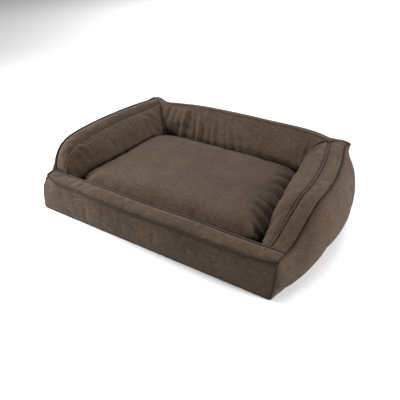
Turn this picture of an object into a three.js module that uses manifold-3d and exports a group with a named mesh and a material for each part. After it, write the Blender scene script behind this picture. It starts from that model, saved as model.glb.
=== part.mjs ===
// A sofa-style cushion bed for a pet, in millimetres, +Z up, front towards -Y.
// A sewn cover with a low front rail, two arms and a back holds one stuffed bolster per side and a
// foam slab under a deck. A loose seat cushion lies in the well. Both the cover and the cushion close
// with a zip, whose slider runs along it and whose pull tab swings.
// The origin is on the floor, under the middle of the bed.
import * as THREE from "three";
import { mergeVertices } from "three/addons/utils/BufferGeometryUtils.js";
import Module from "manifold-3d";

const wasm = await Module();
wasm.setup();

// ---- Driving dimensions ----
const HALF_W = 457; // half the width of the front rail, seam to seam
const FRONT_Y = -345; // the rail's front seam
const BACK_Y = 337; // the back's outer seam
const RAIL_BAND = 62; // width of the strip on top of the front rail
const ARM_BAND = 58; // width of the strip on top of each arm
const BACK_BAND = 48; // depth of the strip on top of the back
const RAIL_H = 138; // height of the rail's inner seam
const RAIL_CORNER_H = 146; // height of the rail's front seam at the corners
const RAIL_SAG = 20; // how far that seam hangs down in the middle
const ARM_H = 230; // height of the arms' seams, and of the back's inner seam at its ends
const EAR_LIFT = 9; // how far the back corners stand above the seams beside them
const EAR_REACH = 32; // over this distance a seam climbs to its ear
const BACK_TILT = 14; // how much lower the back's outer seam is than its inner one
const BACK_ARCH = 22; // how far the back's seams rise from their ends to their middle
const ARM_RISE = 120; // over this distance from the rail an arm climbs to its full height
const EAR_X = 430; // where the side and back seams meet
const ARM_BOW = 43; // how far an arm's seam curves outwards in its middle
const FLOOR_CORNER_X = 443; // the lower corners
const FLOOR_BOW = 45; // how far the lower edge of a side curves outwards
const BELLY = 40; // how far a side stands out between its upper and lower edge
const SIDE_GROWTH = 0.3; // how much fuller a side is at the back than at the front, as a share
const FRONT_PUFF = 7; // how far the front stands out between its upper and lower edge
const BACK_PUFF = 15; // and the back
const BACK_FLAT_H = 68; // the back is flat below this height, where the zip runs
const WELL_HALF = 350; // the arms' inner faces roll in to this, over the seat cushion
const WELL_FLARE = 23; // and stand this much further apart at the front,
const FLARE_LENGTH = 110; // over this distance from the rail
const BACK_ROLL = 64; // how far the back's inner face rolls in
const ROLL_DROP = 60; // height over which the inner faces roll from their seam to upright
const RAIL_ROLL = 6; // how far the rail's inner face rolls in
const BAND_CROWN = 7; // how high the top strips arch between their seams
const DECK_H = 54; // top of the deck under the seat cushion
const FABRIC = 1.6; // the cover's cloth and its backing
const WELT_R = 2.2; // the folded welt in each seam
const SEAM_ROOM = 4; // the cloth of a panel ends this far from a welted seam's line
const CORNER_ROOM = 3.2; // and this far from a plain corner seam
const FILL_ROOM = 9; // between a panel's outer face and the filling behind it
const WALL_FOOT = 0.03; // a wall's cloth starts at this share of its height
const FLOOR_GAP = 2.4; // height of the fillings' undersides, above the bottom panel

const CUSHION_HALF_X = 346;
const CUSHION_HALF_Y = 246;
const CUSHION_Y = -28; // centre of the seat cushion
const CUSHION_EDGE = 13; // half the height of its upright edge, where its zip runs
const CUSHION_SQUARENESS = 10; // exponent of its rounded outline
const CUSHION_SEAM_Z = 98; // height of the seam, and of the zip in it
const CUSHION_CROWN = 58; // how far the cushion's top stands above its seam
const CUSHION_BASE_Z = 54.6; // underside of the cushion
const CUSHION_FILL_ROOM = 5.5; // between the cushion's outer face and its filling

const ZIP_TAPE_W = 9;
const ZIP_TAPE_T = 0.8;
const ZIP_CHAIN_W = 5.6;
const ZIP_CHAIN_T = 2.4;
const ZIP_PITCH = 20; // between the grooves that stand for the turns of the coil
const ZIP_SLIT = 11; // height of the opening in the cloth over the chain
const ZIP_END_ROOM = 9; // length of the opening past each stop
const COVER_ZIP_HALF = 330; // half the length of the cover's zip
const COVER_ZIP_Z = 38; // its height
const CUSHION_ZIP_HALF = 190; // half the length of the cushion's zip
const SLIDER_START = 11; // the closed sliders stand this far from the left ends
const PLATE_T = 1.3; // slider plate
const BRIDGE_LOW = 2.8; // underside of the slider's bridge, above the plate's underside
const BRIDGE_HALF = 3.6; // half its length
const BRIDGE_W = 1.6;
const HINGE_X = 1; // the pull's bar, ahead of the slider's middle
const HINGE_UP = 2.05; // and above the plate's underside
const BAR_R = 0.55;
const PULL_T = 0.9;
const PULL_LEG = 2.6; // half the width of the pull over its bar

const RAIL_Y = FRONT_Y + RAIL_BAND; // the rail's inner seam
const BACK_IN_Y = BACK_Y - BACK_BAND; // the back's inner seam

// ---- Colours ----
const cloth = new THREE.MeshStandardMaterial({ color: 0x6a5a4c, roughness: 0.92, metalness: 0 });
const weltCloth = new THREE.MeshStandardMaterial({ color: 0x57493d, roughness: 0.92, metalness: 0 });
const gripCloth = new THREE.MeshStandardMaterial({ color: 0x3a342e, roughness: 0.85, metalness: 0 });
const fibre = new THREE.MeshStandardMaterial({ color: 0xe9e6df, roughness: 0.95, metalness: 0 });
const foam = new THREE.MeshStandardMaterial({ color: 0xe3d9b8, roughness: 0.9, metalness: 0 });
const tape = new THREE.MeshStandardMaterial({ color: 0x4a3e34, roughness: 0.85, metalness: 0 });
const nylon = new THREE.MeshStandardMaterial({ color: 0x40362d, roughness: 0.45, metalness: 0 });
const zinc = new THREE.MeshStandardMaterial({ color: 0x5b4f43, roughness: 0.4, metalness: 1 });
const satin = new THREE.MeshStandardMaterial({ color: 0xf1efe8, roughness: 0.6, metalness: 0 });

// ---- Small helpers ----
const clamp01 = (t) => Math.min(1, Math.max(0, t));
const smooth = (t) => clamp01(t) ** 2 * (3 - 2 * clamp01(t));
const lerp = (a, b, t) => a + (b - a) * t;
const arch = (t) => 4 * t * (1 - t); // 0 at both ends, 1 in the middle
const steps = (a, b, n) => Array.from({ length: n + 1 }, (_, i) => lerp(a, b, i / n));
const V = (x, y, z) => new THREE.Vector3(x, y, z);

// ---- The cover's seams and faces, for the right-hand side (x > 0) ----
const armShare = (y) => clamp01((y - RAIL_Y) / (BACK_Y - RAIL_Y));
const sideShare = (y) => clamp01((y - FRONT_Y) / (BACK_Y - FRONT_Y));
const ear = (distance) => Math.exp(-((distance / EAR_REACH) ** 2)); // 1 at an ear, 0 away from it
const seamX = (y) => HALF_W + (EAR_X - HALF_W) * armShare(y) + ARM_BOW * arch(armShare(y));
const riseShare = (y) => clamp01((y - RAIL_Y) / ARM_RISE);
const armRise = (y) => (ARM_H - RAIL_H) * smooth(riseShare(y));
const armSlope = (y) => ((ARM_H - RAIL_H) * 6 * riseShare(y) * (1 - riseShare(y))) / ARM_RISE;
const railEnd = (y) => (RAIL_CORNER_H - RAIL_H) * clamp01((RAIL_Y - y) / RAIL_BAND);
const backDrop = (y) => BACK_TILT * smooth((y - BACK_IN_Y) / BACK_BAND);
const seamZ = (y) => RAIL_H + railEnd(y) + armRise(y) + EAR_LIFT * ear(BACK_Y - y);
const innerSeamX = (y) => seamX(y) - ARM_BAND;
const innerSeamZ = (y) => RAIL_H + armRise(y);
// How far below an arm's seam a panel's edge must stay, more where the seam is steep.
const seamRoom = (y) => SEAM_ROOM * Math.hypot(1, armSlope(y));

// The side wall at a depth y and a height share w, from the floor (0) to the seam (1).
function sideWall(y, w) {
  const s = sideShare(y);
  const floorX = FLOOR_CORNER_X + FLOOR_BOW * arch(s);
  const puff = BELLY * (1 + SIDE_GROWTH * s) * Math.sin(Math.PI * w) * arch(s) ** 0.5;
  return V(lerp(floorX, seamX(y), w) + puff, y, seamZ(y) * w);
}

// Half the back wall's width at a height share w.
const backHalf = (w) => lerp(FLOOR_CORNER_X, EAR_X, w);
const cornerInX = innerSeamX(BACK_IN_Y); // where the inner seams meet
// How far the back has risen, at a share of the way from its middle (0) to its corner (1 or -1).
const backRise = (share) => BACK_ARCH * (1 - Math.min(1, Math.abs(share)) ** 4);

// The back's outer seam: arched between the inner corners, up again to the ears at its ends.
function backSeamZ(x) {
  const atEar = (EAR_LIFT + BACK_TILT) * ear(EAR_X - Math.abs(x));
  return ARM_H - BACK_TILT + backRise(x / cornerInX) + atEar;
}

function backWall(t, w) {
  const x = (2 * t - 1) * backHalf(w);
  const seam = backSeamZ(x * (EAR_X / backHalf(w)));
  const q = clamp01((seam * w - BACK_FLAT_H) / (seam - BACK_FLAT_H));
  return V(x, BACK_Y + BACK_PUFF * Math.sin(Math.PI * q) * arch(t) ** 0.5, seam * w);
}

const railSeamZ = (x) => RAIL_CORNER_H - RAIL_SAG * (1 - (Math.abs(x) / HALF_W) ** 4);

function frontWall(t, w) {
  const x = (2 * t - 1) * lerp(FLOOR_CORNER_X, HALF_W, w);
  return V(x, FRONT_Y - FRONT_PUFF * Math.sin(Math.PI * w) * arch(t) ** 0.4, railSeamZ(x) * w);
}

// The strips on top, from the outer seam (v = 0) to the inner seam (v = 1).
function armBand(u, v) {
  const y = lerp(RAIL_Y, lerp(BACK_Y, BACK_IN_Y, v), u);
  const z = lerp(seamZ(y), innerSeamZ(y), v);
  return V(seamX(y) - ARM_BAND * v, y, z + BAND_CROWN * arch(v) * smooth((y - RAIL_Y) / 60));
}

function backBand(u, v) {
  const share = lerp(-1, 1, u);
  const z = lerp(backSeamZ(share * EAR_X), ARM_H + backRise(share), v);
  return V(share * lerp(EAR_X, cornerInX, v), lerp(BACK_Y, BACK_IN_Y, v), z + BAND_CROWN * 0.4 * arch(v));
}

function railBand(u, v) {
  const x = lerp(-HALF_W, HALF_W, u);
  const y = lerp(FRONT_Y, RAIL_Y, v);
  return V(x, y, lerp(railSeamZ(x), RAIL_H, v) + BAND_CROWN * arch(v));
}

// The inner faces, from the seam (q = 0) to the deck (q = 1): a quarter turn, then straight down.
const ROLL_SHARE = 0.45; // the share of q that the quarter turn takes
const rollAngle = (q) => (Math.PI / 2) * clamp01(q / ROLL_SHARE);
const wellX = (y) => WELL_HALF + WELL_FLARE * (1 - smooth((y - RAIL_Y) / FLARE_LENGTH));
const backFaceY = (q) => BACK_IN_Y - BACK_ROLL * Math.sin(rollAngle(q));

function innerHeight(seamHeight, q) {
  const drop = Math.min(ROLL_DROP, ROLL_SHARE * (seamHeight - DECK_H));
  const below = clamp01((q - ROLL_SHARE) / (1 - ROLL_SHARE));
  return lerp(seamHeight - drop * (1 - Math.cos(rollAngle(q))), DECK_H, below);
}

function armInner(y, q) {
  return V(lerp(innerSeamX(y), wellX(y), Math.sin(rollAngle(q))), y, innerHeight(innerSeamZ(y), q));
}

// Half the width of the back's inner face.
const backFaceHalf = (q) => lerp(cornerInX, WELL_HALF, Math.sin(rollAngle(q)));

function backInner(x, q) {
  return V(x, backFaceY(q), innerHeight(ARM_H + backRise(x / backFaceHalf(q)), q));
}

// The share q at which an inner face of this depth clears its welt.
const rollStart = (depth) => (Math.asin(SEAM_ROOM / depth) / (Math.PI / 2)) * ROLL_SHARE;

const railInner = (x, q) => V(x, RAIL_Y + RAIL_ROLL * Math.sin(rollAngle(q)), lerp(RAIL_H, DECK_H, q));

// ---- Making solids ----
function geometryOf(points, triangles) {
  const position = new Float32Array(points.flatMap((p) => [p.x, p.y, p.z]));
  const facingOut = volumeOf(points, triangles) < 0 ? triangles.reverse() : triangles;
  return new THREE.BufferGeometry()
    .setAttribute("position", new THREE.BufferAttribute(position, 3))
    .setIndex(facingOut);
}

function volumeOf(points, triangles) {
  let six = 0;
  for (let i = 0; i < triangles.length; i += 3) {
    const [a, b, c] = triangles.slice(i, i + 3).map((k) => points[k]);
    six += a.dot(b.clone().cross(c));
  }
  return six / 6;
}

// A sheet of cloth: the surface at(u, v) with its thickness behind it. side is 1 or -1, the side
// of the surface that du x dv points to when the cloth lies behind that face.
function sheet(at, us, vs, side, thickness = FABRIC) {
  const e = 1e-3;
  const front = [];
  const rear = [];
  for (const v of vs) {
    for (const u of us) {
      const p = at(u, v);
      const du = at(u + e * (us.at(-1) - us[0]), v).sub(at(u - e * (us.at(-1) - us[0]), v));
      const dv = at(u, v + e * (vs.at(-1) - vs[0])).sub(at(u, v - e * (vs.at(-1) - vs[0])));
      const normal = du.cross(dv).normalize().multiplyScalar(side);
      front.push(p);
      rear.push(p.clone().addScaledVector(normal, -thickness));
    }
  }
  const nu = us.length;
  const nv = vs.length;
  const back = front.length;
  const id = (i, j) => j * nu + i;
  const triangles = [];
  const quad = (a, b, c, d) => triangles.push(a, b, c, a, c, d);
  for (let j = 0; j + 1 < nv; j++) {
    for (let i = 0; i + 1 < nu; i++) {
      quad(id(i, j), id(i + 1, j), id(i + 1, j + 1), id(i, j + 1));
      quad(back + id(i, j), back + id(i, j + 1), back + id(i + 1, j + 1), back + id(i + 1, j));
    }
  }
  const rim = [];
  for (let i = 0; i + 1 < nu; i++) rim.push(id(i, 0));
  for (let j = 0; j + 1 < nv; j++) rim.push(id(nu - 1, j));
  for (let i = nu - 1; i > 0; i--) rim.push(id(i, nv - 1));
  for (let j = nv - 1; j > 0; j--) rim.push(id(0, j));
  rim.forEach((a, k) => {
    const b = rim[(k + 1) % rim.length];
    quad(a, back + a, back + b, b);
  });
  return geometryOf([...front, ...rear], triangles);
}

// A solid through closed rings of points, with its two ends closed.
function loft(rings) {
  const n = rings[0].length;
  const points = rings.flat();
  const triangles = [];
  for (let r = 0; r + 1 < rings.length; r++) {
    for (let i = 0; i < n; i++) {
      const a = r * n + i;
      const b = r * n + ((i + 1) % n);
      triangles.push(a, b, b + n, a, b + n, a + n);
    }
  }
  [0, rings.length - 1].forEach((r) => {
    const centre = rings[r].reduce((sum, p) => sum.add(p), V(0, 0, 0)).divideScalar(n);
    const hub = points.push(centre) - 1;
    for (let i = 0; i < n; i++) {
      const a = r * n + i;
      const b = r * n + ((i + 1) % n);
      triangles.push(...(r ? [hub, a, b] : [hub, b, a]));
    }
  });
  return geometryOf(points, triangles);
}

// A round cord of welt along a line of points.
function welt(points, radius = WELT_R, sides = 8) {
  const ring = steps(0, 2 * Math.PI, sides).slice(0, sides);
  const rim = ring.map((a) => new THREE.Vector2(radius * Math.cos(a), radius * Math.sin(a)));
  const section = new THREE.Shape(rim);
  const curve = new THREE.CatmullRomCurve3(points, false, "centripetal");
  const count = Math.ceil(curve.getLength() / 26);
  return new THREE.ExtrudeGeometry(section, { steps: count, bevelEnabled: false, extrudePath: curve });
}

function box(x0, x1, y0, y1, z0, z1) {
  const body = new THREE.BoxGeometry(x1 - x0, y1 - y0, z1 - z0);
  return body.translate((x0 + x1) / 2, (y0 + y1) / 2, (z0 + z1) / 2);
}

function solidOf(geometry) {
  const bare = (geometry.index ? geometry.toNonIndexed() : geometry).clone();
  bare.deleteAttribute("normal");
  bare.deleteAttribute("uv");
  const merged = mergeVertices(bare, 1e-3);
  const mesh = new wasm.Mesh({
    numProp: 3,
    vertProperties: merged.attributes.position.array,
    triVerts: new Uint32Array(merged.index.array),
  });
  return new wasm.Manifold(mesh);
}

function fromSolid(solid) {
  const mesh = solid.getMesh();
  const position = new Float32Array(mesh.numVert * 3);
  for (let i = 0; i < mesh.numVert; i++) {
    position.set(mesh.vertProperties.subarray(i * mesh.numProp, i * mesh.numProp + 3), i * 3);
  }
  return new THREE.BufferGeometry()
    .setAttribute("position", new THREE.BufferAttribute(position, 3))
    .setIndex(new THREE.BufferAttribute(mesh.triVerts, 1));
}

const bed = new THREE.Group();
const add = (name, geometry, material, parent = bed) => {
  const mesh = new THREE.Mesh(geometry, material);
  mesh.name = name;
  parent.add(mesh);
  return mesh;
};

// A panel modelled for the right-hand side, and its mirror image on the left.
function addPair(name, at, us, vs, side) {
  add(`right_${name}`, sheet(at, us, vs, side), cloth);
  const mirrored = (u, v) => at(u, v).multiply(V(-1, 1, 1));
  add(`left_${name}`, sheet(mirrored, us, vs, -side), cloth);
}

// Depths where an arm is sampled: close together where it rises, wider apart along its length.
const ARM_SAMPLES = [8, 18, 30, 45, 62, 80, 98, 114, 130, 170, 220, 280, 350, 420, 480, 520, 545, 570, 601];
const armDepths = (from, to) => {
  const between = ARM_SAMPLES.map((d) => RAIL_Y + d).filter((y) => y > from + 3 && y < to - 3);
  return [from, ...between, to];
};

// n + 1 shares of a length, evenly spread, with this much left free at both ends.
const trimmed = (length, room, n) => steps(room / length, 1 - room / length, n);

// ---- Outer panels ----
function addWalls() {
  const top = 1 - SEAM_ROOM / ARM_H;
  const trimmedSide = (y, w) => {
    const room = y < RAIL_Y ? SEAM_ROOM : seamRoom(y);
    return sideWall(y, Math.min(w, 1 - room / seamZ(y)));
  };
  const sideDepths = [FRONT_Y + CORNER_ROOM, FRONT_Y + 30, ...armDepths(RAIL_Y, BACK_Y - CORNER_ROOM)];
  addPair("side_panel", trimmedSide, sideDepths, steps(WALL_FOOT * top, top, 8), 1);

  const frontTop = 1 - SEAM_ROOM / (RAIL_CORNER_H - RAIL_SAG);
  const frontSpan = trimmed(2 * HALF_W, CORNER_ROOM, 20);
  add("front_panel", sheet(frontWall, frontSpan, steps(WALL_FOOT, frontTop, 5), 1), cloth);

  // The back, in two panels with the zip's slit between them; past the zip's ends the slit is closed.
  const seamAt = (t) => backSeamZ((2 * t - 1) * EAR_X);
  const atHeight = (t, z) => backWall(t, z / seamAt(t));
  const slitHalf = (t) => {
    const beyond = Math.abs(2 * t - 1) * EAR_X - COVER_ZIP_HALF - ZIP_END_ROOM;
    return lerp(ZIP_SLIT / 2, 0.2, smooth(beyond / ZIP_END_ROOM));
  };
  const foot = WALL_FOOT * ARM_H;
  const lower = (t, k) => atHeight(t, lerp(foot, COVER_ZIP_Z - slitHalf(t), k));
  const upper = (t, k) => atHeight(t, lerp(COVER_ZIP_Z + slitHalf(t), seamAt(t) * top, k));
  const slitEnd = COVER_ZIP_HALF + ZIP_END_ROOM;
  const middle = steps(-slitEnd, slitEnd, 20);
  const ends = [slitEnd + ZIP_END_ROOM / 2, slitEnd + ZIP_END_ROOM, 362, 376, 390, 408, EAR_X - CORNER_ROOM];
  const backSpan = [...ends.map((x) => -x).reverse(), ...middle, ...ends].map((x) => (x / EAR_X + 1) / 2);
  add("back_panel_lower", sheet(lower, backSpan, [0, 1], -1), cloth);
  add("back_panel_upper", sheet(upper, backSpan, steps(0, 1, 8), -1), cloth);
}

// ---- Top strips ----
function addBands() {
  const armSpan = armDepths(RAIL_Y + SEAM_ROOM, BACK_Y - SEAM_ROOM).map(armShare);
  addPair("arm_band", armBand, armSpan, trimmed(ARM_BAND, SEAM_ROOM, 3), -1);
  const backSpan = trimmed(2 * EAR_X, SEAM_ROOM, 26);
  add("back_band", sheet(backBand, backSpan, trimmed(BACK_BAND, SEAM_ROOM, 3), 1), cloth);
  const railSpan = trimmed(2 * HALF_W, SEAM_ROOM, 20);
  add("front_rail_band", sheet(railBand, railSpan, trimmed(RAIL_BAND, SEAM_ROOM, 4), 1), cloth);
}

// ---- Inner panels ----
function addInnerPanels() {
  const heights = [0, 0.09, 0.18, 0.27, 0.36, 0.45, 0.72, 0.995];
  const front = RAIL_Y + RAIL_ROLL + 4;
  const depths = armDepths(front, BACK_IN_Y - 2).map((y) => (y - front) / (BACK_IN_Y - 2 - front));
  const armFace = (u, q) => { // each line of the weave ends where the back's face meets it
    const y = lerp(front, backFaceY(Math.max(q, rollStart(BACK_ROLL))) - 2, u);
    return armInner(y, Math.max(q, rollStart(innerSeamX(y) - wellX(y))));
  };
  addPair("inner_panel", armFace, depths, heights, 1);
  const start = rollStart(BACK_ROLL);
  const backFace = (u, q) => {
    const from = Math.max(q, start);
    return backInner((backFaceHalf(from) - 3) * u, from);
  };
  add("back_inner_panel", sheet(backFace, steps(-1, 1, 20), heights, -1), cloth);
  const railHalf = wellX(RAIL_Y) - 2;
  const railHeights = [0.05, 0.25, 0.5, 0.99];
  add("front_rail_inner_panel", sheet(railInner, steps(-railHalf, railHalf, 12), railHeights, -1), cloth);
}

// ---- Fillings ----
// Each is a loft through rings of points that lie FILL_ROOM behind the faces of the cover.
function addFillings() {
  const rollShares = [0.1, 0.19, 0.28, 0.37, 0.45, 0.7, 1];
  const sideRing = (y) => {
    const top = (v) => lerp(seamZ(y - 5), innerSeamZ(y - 5), v) - FILL_ROOM - backDrop(y);
    const outer = steps(0, 0.94, 7).map((w) => {
      const p = sideWall(y, Math.max(w, FLOOR_GAP / seamZ(y)));
      return V(p.x - FILL_ROOM, y, Math.min(Math.max(p.z, FLOOR_GAP), top(0)));
    });
    const crown = [0.12, 0.5, 0.88].map((v) => V(seamX(y) - ARM_BAND * v, y, top(v) + 2 * arch(v)));
    const inner = rollShares.map((q) => {
      const p = armInner(y, q);
      const down = FILL_ROOM * Math.cos(rollAngle(q)) + backDrop(y);
      return V(p.x + FILL_ROOM * Math.sin(rollAngle(q)), y, p.z - down);
    });
    const foot = V(armInner(y, 1).x + FILL_ROOM, y, FLOOR_GAP);
    return [...outer, ...crown, ...inner, foot];
  };
  const armYs = armDepths(RAIL_Y + 9, BACK_IN_Y - 6);
  const behind = [BACK_IN_Y + 8, BACK_IN_Y + 16, BACK_IN_Y + 31];
  const rings = [...armYs, ...behind].map(sideRing);
  add("right_bolster_fill", loft(rings), fibre);
  add("left_bolster_fill", loft(rings.map((ring) => ring.map((p) => V(-p.x, p.y, p.z)))), fibre);

  const backRing = (x) => {
    const t = (x / backHalf(0.6) + 1) / 2;
    const outer = steps(0, 0.95, 6).map((w) => {
      const p = backWall(t, w);
      return V(x, p.y - FILL_ROOM, Math.max(p.z, FLOOR_GAP));
    });
    const top = (v) => lerp(backSeamZ(x), ARM_H + backRise(x / cornerInX), v) - FILL_ROOM;
    const crown = [0.15, 0.85].map((v) => V(x, lerp(BACK_Y, BACK_IN_Y, v), top(v)));
    const inner = rollShares.map((q) => {
      const p = backInner(x, q);
      return V(x, p.y + FILL_ROOM * Math.sin(rollAngle(q)), p.z - FILL_ROOM * Math.cos(rollAngle(q)));
    });
    return [...outer, ...crown, ...inner, V(x, backInner(x, 1).y + FILL_ROOM, FLOOR_GAP)];
  };
  const backEnd = WELL_HALF - 3;
  add("back_bolster_fill", loft(steps(-backEnd, backEnd, 16).map(backRing)), fibre);

  const railRing = (x) => {
    const t = (x / HALF_W + 1) / 2;
    const outer = steps(0, 0.93, 4).map((w) => {
      const p = frontWall(t, w);
      return V(x, p.y + FILL_ROOM, Math.max(p.z, FLOOR_GAP));
    });
    const top = (v) => railBand(t, v).z - FILL_ROOM;
    const crown = [0.15, 0.5, 0.85].map((v) => V(x, lerp(FRONT_Y, RAIL_Y, v), top(v)));
    const inner = [0.12, 0.4, 1].map((q) => V(x, railInner(x, q).y - FILL_ROOM, railInner(x, q).z));
    return [...outer, ...crown, ...inner, V(x, railInner(x, 1).y - FILL_ROOM, FLOOR_GAP)];
  };
  const railFillHalf = FLOOR_CORNER_X - FILL_ROOM - 2;
  add("front_rail_foam", loft(steps(-railFillHalf, railFillHalf, 18).map(railRing)), foam);
}

// ---- Base: bottom panel, foam slab and deck ----
function outlineShape(inset) {
  const side = steps(FRONT_Y + inset, BACK_Y - inset, 12).map((y) => [sideWall(y, 0).x - inset, y]);
  const mirrored = side.map(([x, y]) => [-x, y]).reverse();
  return new THREE.Shape([...side, ...mirrored].map(([x, y]) => new THREE.Vector2(x, y)));
}

// The outline of the well at its floor, just inside the inner panels.
function wellShape() {
  const side = armDepths(RAIL_Y + RAIL_ROLL - 3, backFaceY(1) - 1).map((y) => [wellX(y) - 1, y]);
  const mirrored = side.map(([x, y]) => [-x, y]).reverse();
  return new THREE.Shape([...side, ...mirrored].map(([x, y]) => new THREE.Vector2(x, y)));
}

function addBase() {
  const bottom = new THREE.ExtrudeGeometry(outlineShape(0.5), { depth: FABRIC, bevelEnabled: false });
  add("bottom_panel", bottom, gripCloth);
  const slab = (z0, z1) => {
    const body = new THREE.ExtrudeGeometry(wellShape(), { depth: z1 - z0, bevelEnabled: false });
    return body.translate(0, 0, z0);
  };
  const deckTop = DECK_H - 0.4;
  add("base_foam", slab(FLOOR_GAP, deckTop - FABRIC - 0.4), foam);
  add("deck_panel", slab(deckTop - FABRIC, deckTop), cloth);
}

// ---- Welts and the care label ----
function addWelts() {
  const armLine = (x, z, from, to) => armDepths(from, to).map((y) => V(x(y), y, z(y)));
  const mirror = (points) => points.map((p) => V(-p.x, p.y, p.z)).reverse();

  const butt = WELT_R + 0.6; // where one welt ends against the side of another
  const addSides = (name, line) => {
    add(`right_${name}`, welt(line), weltCloth);
    add(`left_${name}`, welt(mirror(line)), weltCloth);
  };
  addSides("inner_welt", armLine(innerSeamX, innerSeamZ, RAIL_Y + 3 * WELT_R, BACK_IN_Y + WELT_R));
  const backInnerLine = steps(butt - cornerInX, cornerInX - butt, 20).map((x) => {
    return V(x, BACK_IN_Y, ARM_H + backRise(x / cornerInX));
  });
  add("back_inner_welt", welt(backInnerLine), weltCloth);
  const railReach = HALF_W - 6;
  const railInnerLine = steps(-railReach, railReach, 12).map((x) => V(x, RAIL_Y, RAIL_H));
  add("rail_inner_welt", welt(railInnerLine), weltCloth);

  addSides("outer_welt", [
    V(HALF_W, FRONT_Y, RAIL_CORNER_H),
    V(HALF_W, FRONT_Y + 30, RAIL_H + railEnd(FRONT_Y + 30)),
    ...armLine(seamX, seamZ, RAIL_Y, BACK_Y),
  ]);
  const outerXs = [butt, 12, 20, 32, 46, 60, 80, 110, 150, 200, 260, 340, EAR_X].map((d) => EAR_X - d);
  const backLine = [...outerXs, ...outerXs.slice(0, -1).map((x) => -x).reverse()];
  add("back_outer_welt", welt(backLine.map((x) => V(x, BACK_Y, backSeamZ(x)))), weltCloth);
  const railEnds = HALF_W - butt;
  const railOuterLine = steps(-railEnds, railEnds, 12).map((x) => V(x, FRONT_Y, railSeamZ(x)));
  add("rail_outer_welt", welt(railOuterLine), weltCloth);

  add("care_label", box(-392, -362, BACK_Y + 0.5, BACK_Y + 0.9, 8, 52), satin);
}

// ---- Zips ----
// A zip along X in a face that looks towards +Y, with the outer face of its chain at y. Its slider
// stands near the left end, and its pull lies along the chain.
function addZip(prefix, half, y, z, parent) {
  const tapeBack = y - FABRIC - 0.3 - ZIP_TAPE_T;
  const inner = ZIP_CHAIN_W / 2 + 0.4;
  const reach = half + 6;
  const tapeAt = (z0, z1) => box(-reach, reach, tapeBack, tapeBack + ZIP_TAPE_T, z0, z1);
  add(`${prefix}_zip_tape_upper`, tapeAt(z + inner, z + inner + ZIP_TAPE_W), tape, parent);
  add(`${prefix}_zip_tape_lower`, tapeAt(z - inner - ZIP_TAPE_W, z - inner), tape, parent);
  add(`${prefix}_zip_chain`, zipChain(half, y, z), nylon, parent);
  for (const [side, at] of [["left", -half], ["right", half]]) {
    const stop = box(at - 2.5, at + 2.5, y - ZIP_CHAIN_T, y + 0.7, z - 2.8, z + 2.8);
    add(`${prefix}_zip_stop_${side}`, stop, zinc, parent);
  }
  const face = y + 0.5; // underside of the slider's plate
  add(`${prefix}_zip_slider`, zipSlider(SLIDER_START - half, face, z), zinc, parent);
  add(`${prefix}_zip_pull`, zipPull(SLIDER_START - half, face, z), zinc, parent);
}

// The two meshed rows of coil as one strip, grooved across.
function zipChain(half, y, z) {
  const count = Math.floor((2 * half - 6) / ZIP_PITCH);
  const start = -(count * ZIP_PITCH) / 2;
  const groove = ZIP_CHAIN_T - 0.5;
  const shape = new THREE.Shape();
  shape.moveTo(start, 0);
  for (let i = 0; i < count; i++) {
    const x = start + i * ZIP_PITCH;
    shape.lineTo(x, ZIP_CHAIN_T);
    shape.lineTo(x + ZIP_PITCH - 1.2, ZIP_CHAIN_T);
    shape.lineTo(x + ZIP_PITCH - 1.2, groove);
    shape.lineTo(x + ZIP_PITCH, groove);
  }
  shape.lineTo(start + count * ZIP_PITCH, 0);
  const strip = new THREE.ExtrudeGeometry(shape, { depth: ZIP_CHAIN_W, bevelEnabled: false });
  return strip.translate(0, y - ZIP_CHAIN_T, z - ZIP_CHAIN_W / 2);
}

// A flat shape in X and Z as a plate of this thickness, its lower face at the height y.
function plateOf(shape, thickness, x, y, z) {
  const settings = { depth: thickness, bevelEnabled: false, curveSegments: 5 };
  const plate = new THREE.ExtrudeGeometry(shape, settings);
  return plate.rotateX(Math.PI / 2).translate(x, y + thickness, z);
}

function zipSlider(x, face, z) {
  const outline = new THREE.Shape();
  outline.moveTo(-6, -3);
  outline.lineTo(2, -3);
  outline.quadraticCurveTo(6, -4.6, 6.5, 0);
  outline.quadraticCurveTo(6, 4.6, 2, 3);
  outline.lineTo(-6, 3);
  const bar = (x0, x1, up0, up1) => {
    return solidOf(box(x + x0, x + x1, face + up0, face + up1, z - BRIDGE_W / 2, z + BRIDGE_W / 2));
  };
  const foot = 1.2; // length of the two feet of the bridge
  const pieces = [
    bar(-BRIDGE_HALF, foot - BRIDGE_HALF, PLATE_T - 0.3, BRIDGE_LOW + 0.4),
    bar(BRIDGE_HALF - foot, BRIDGE_HALF, PLATE_T - 0.3, BRIDGE_LOW + 0.4),
    bar(-BRIDGE_HALF, BRIDGE_HALF, BRIDGE_LOW, BRIDGE_LOW + 1),
  ];
  const plate = solidOf(plateOf(outline, PLATE_T, x, face, z));
  return fromSolid(pieces.reduce((sum, piece) => sum.add(piece), plate));
}

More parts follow.
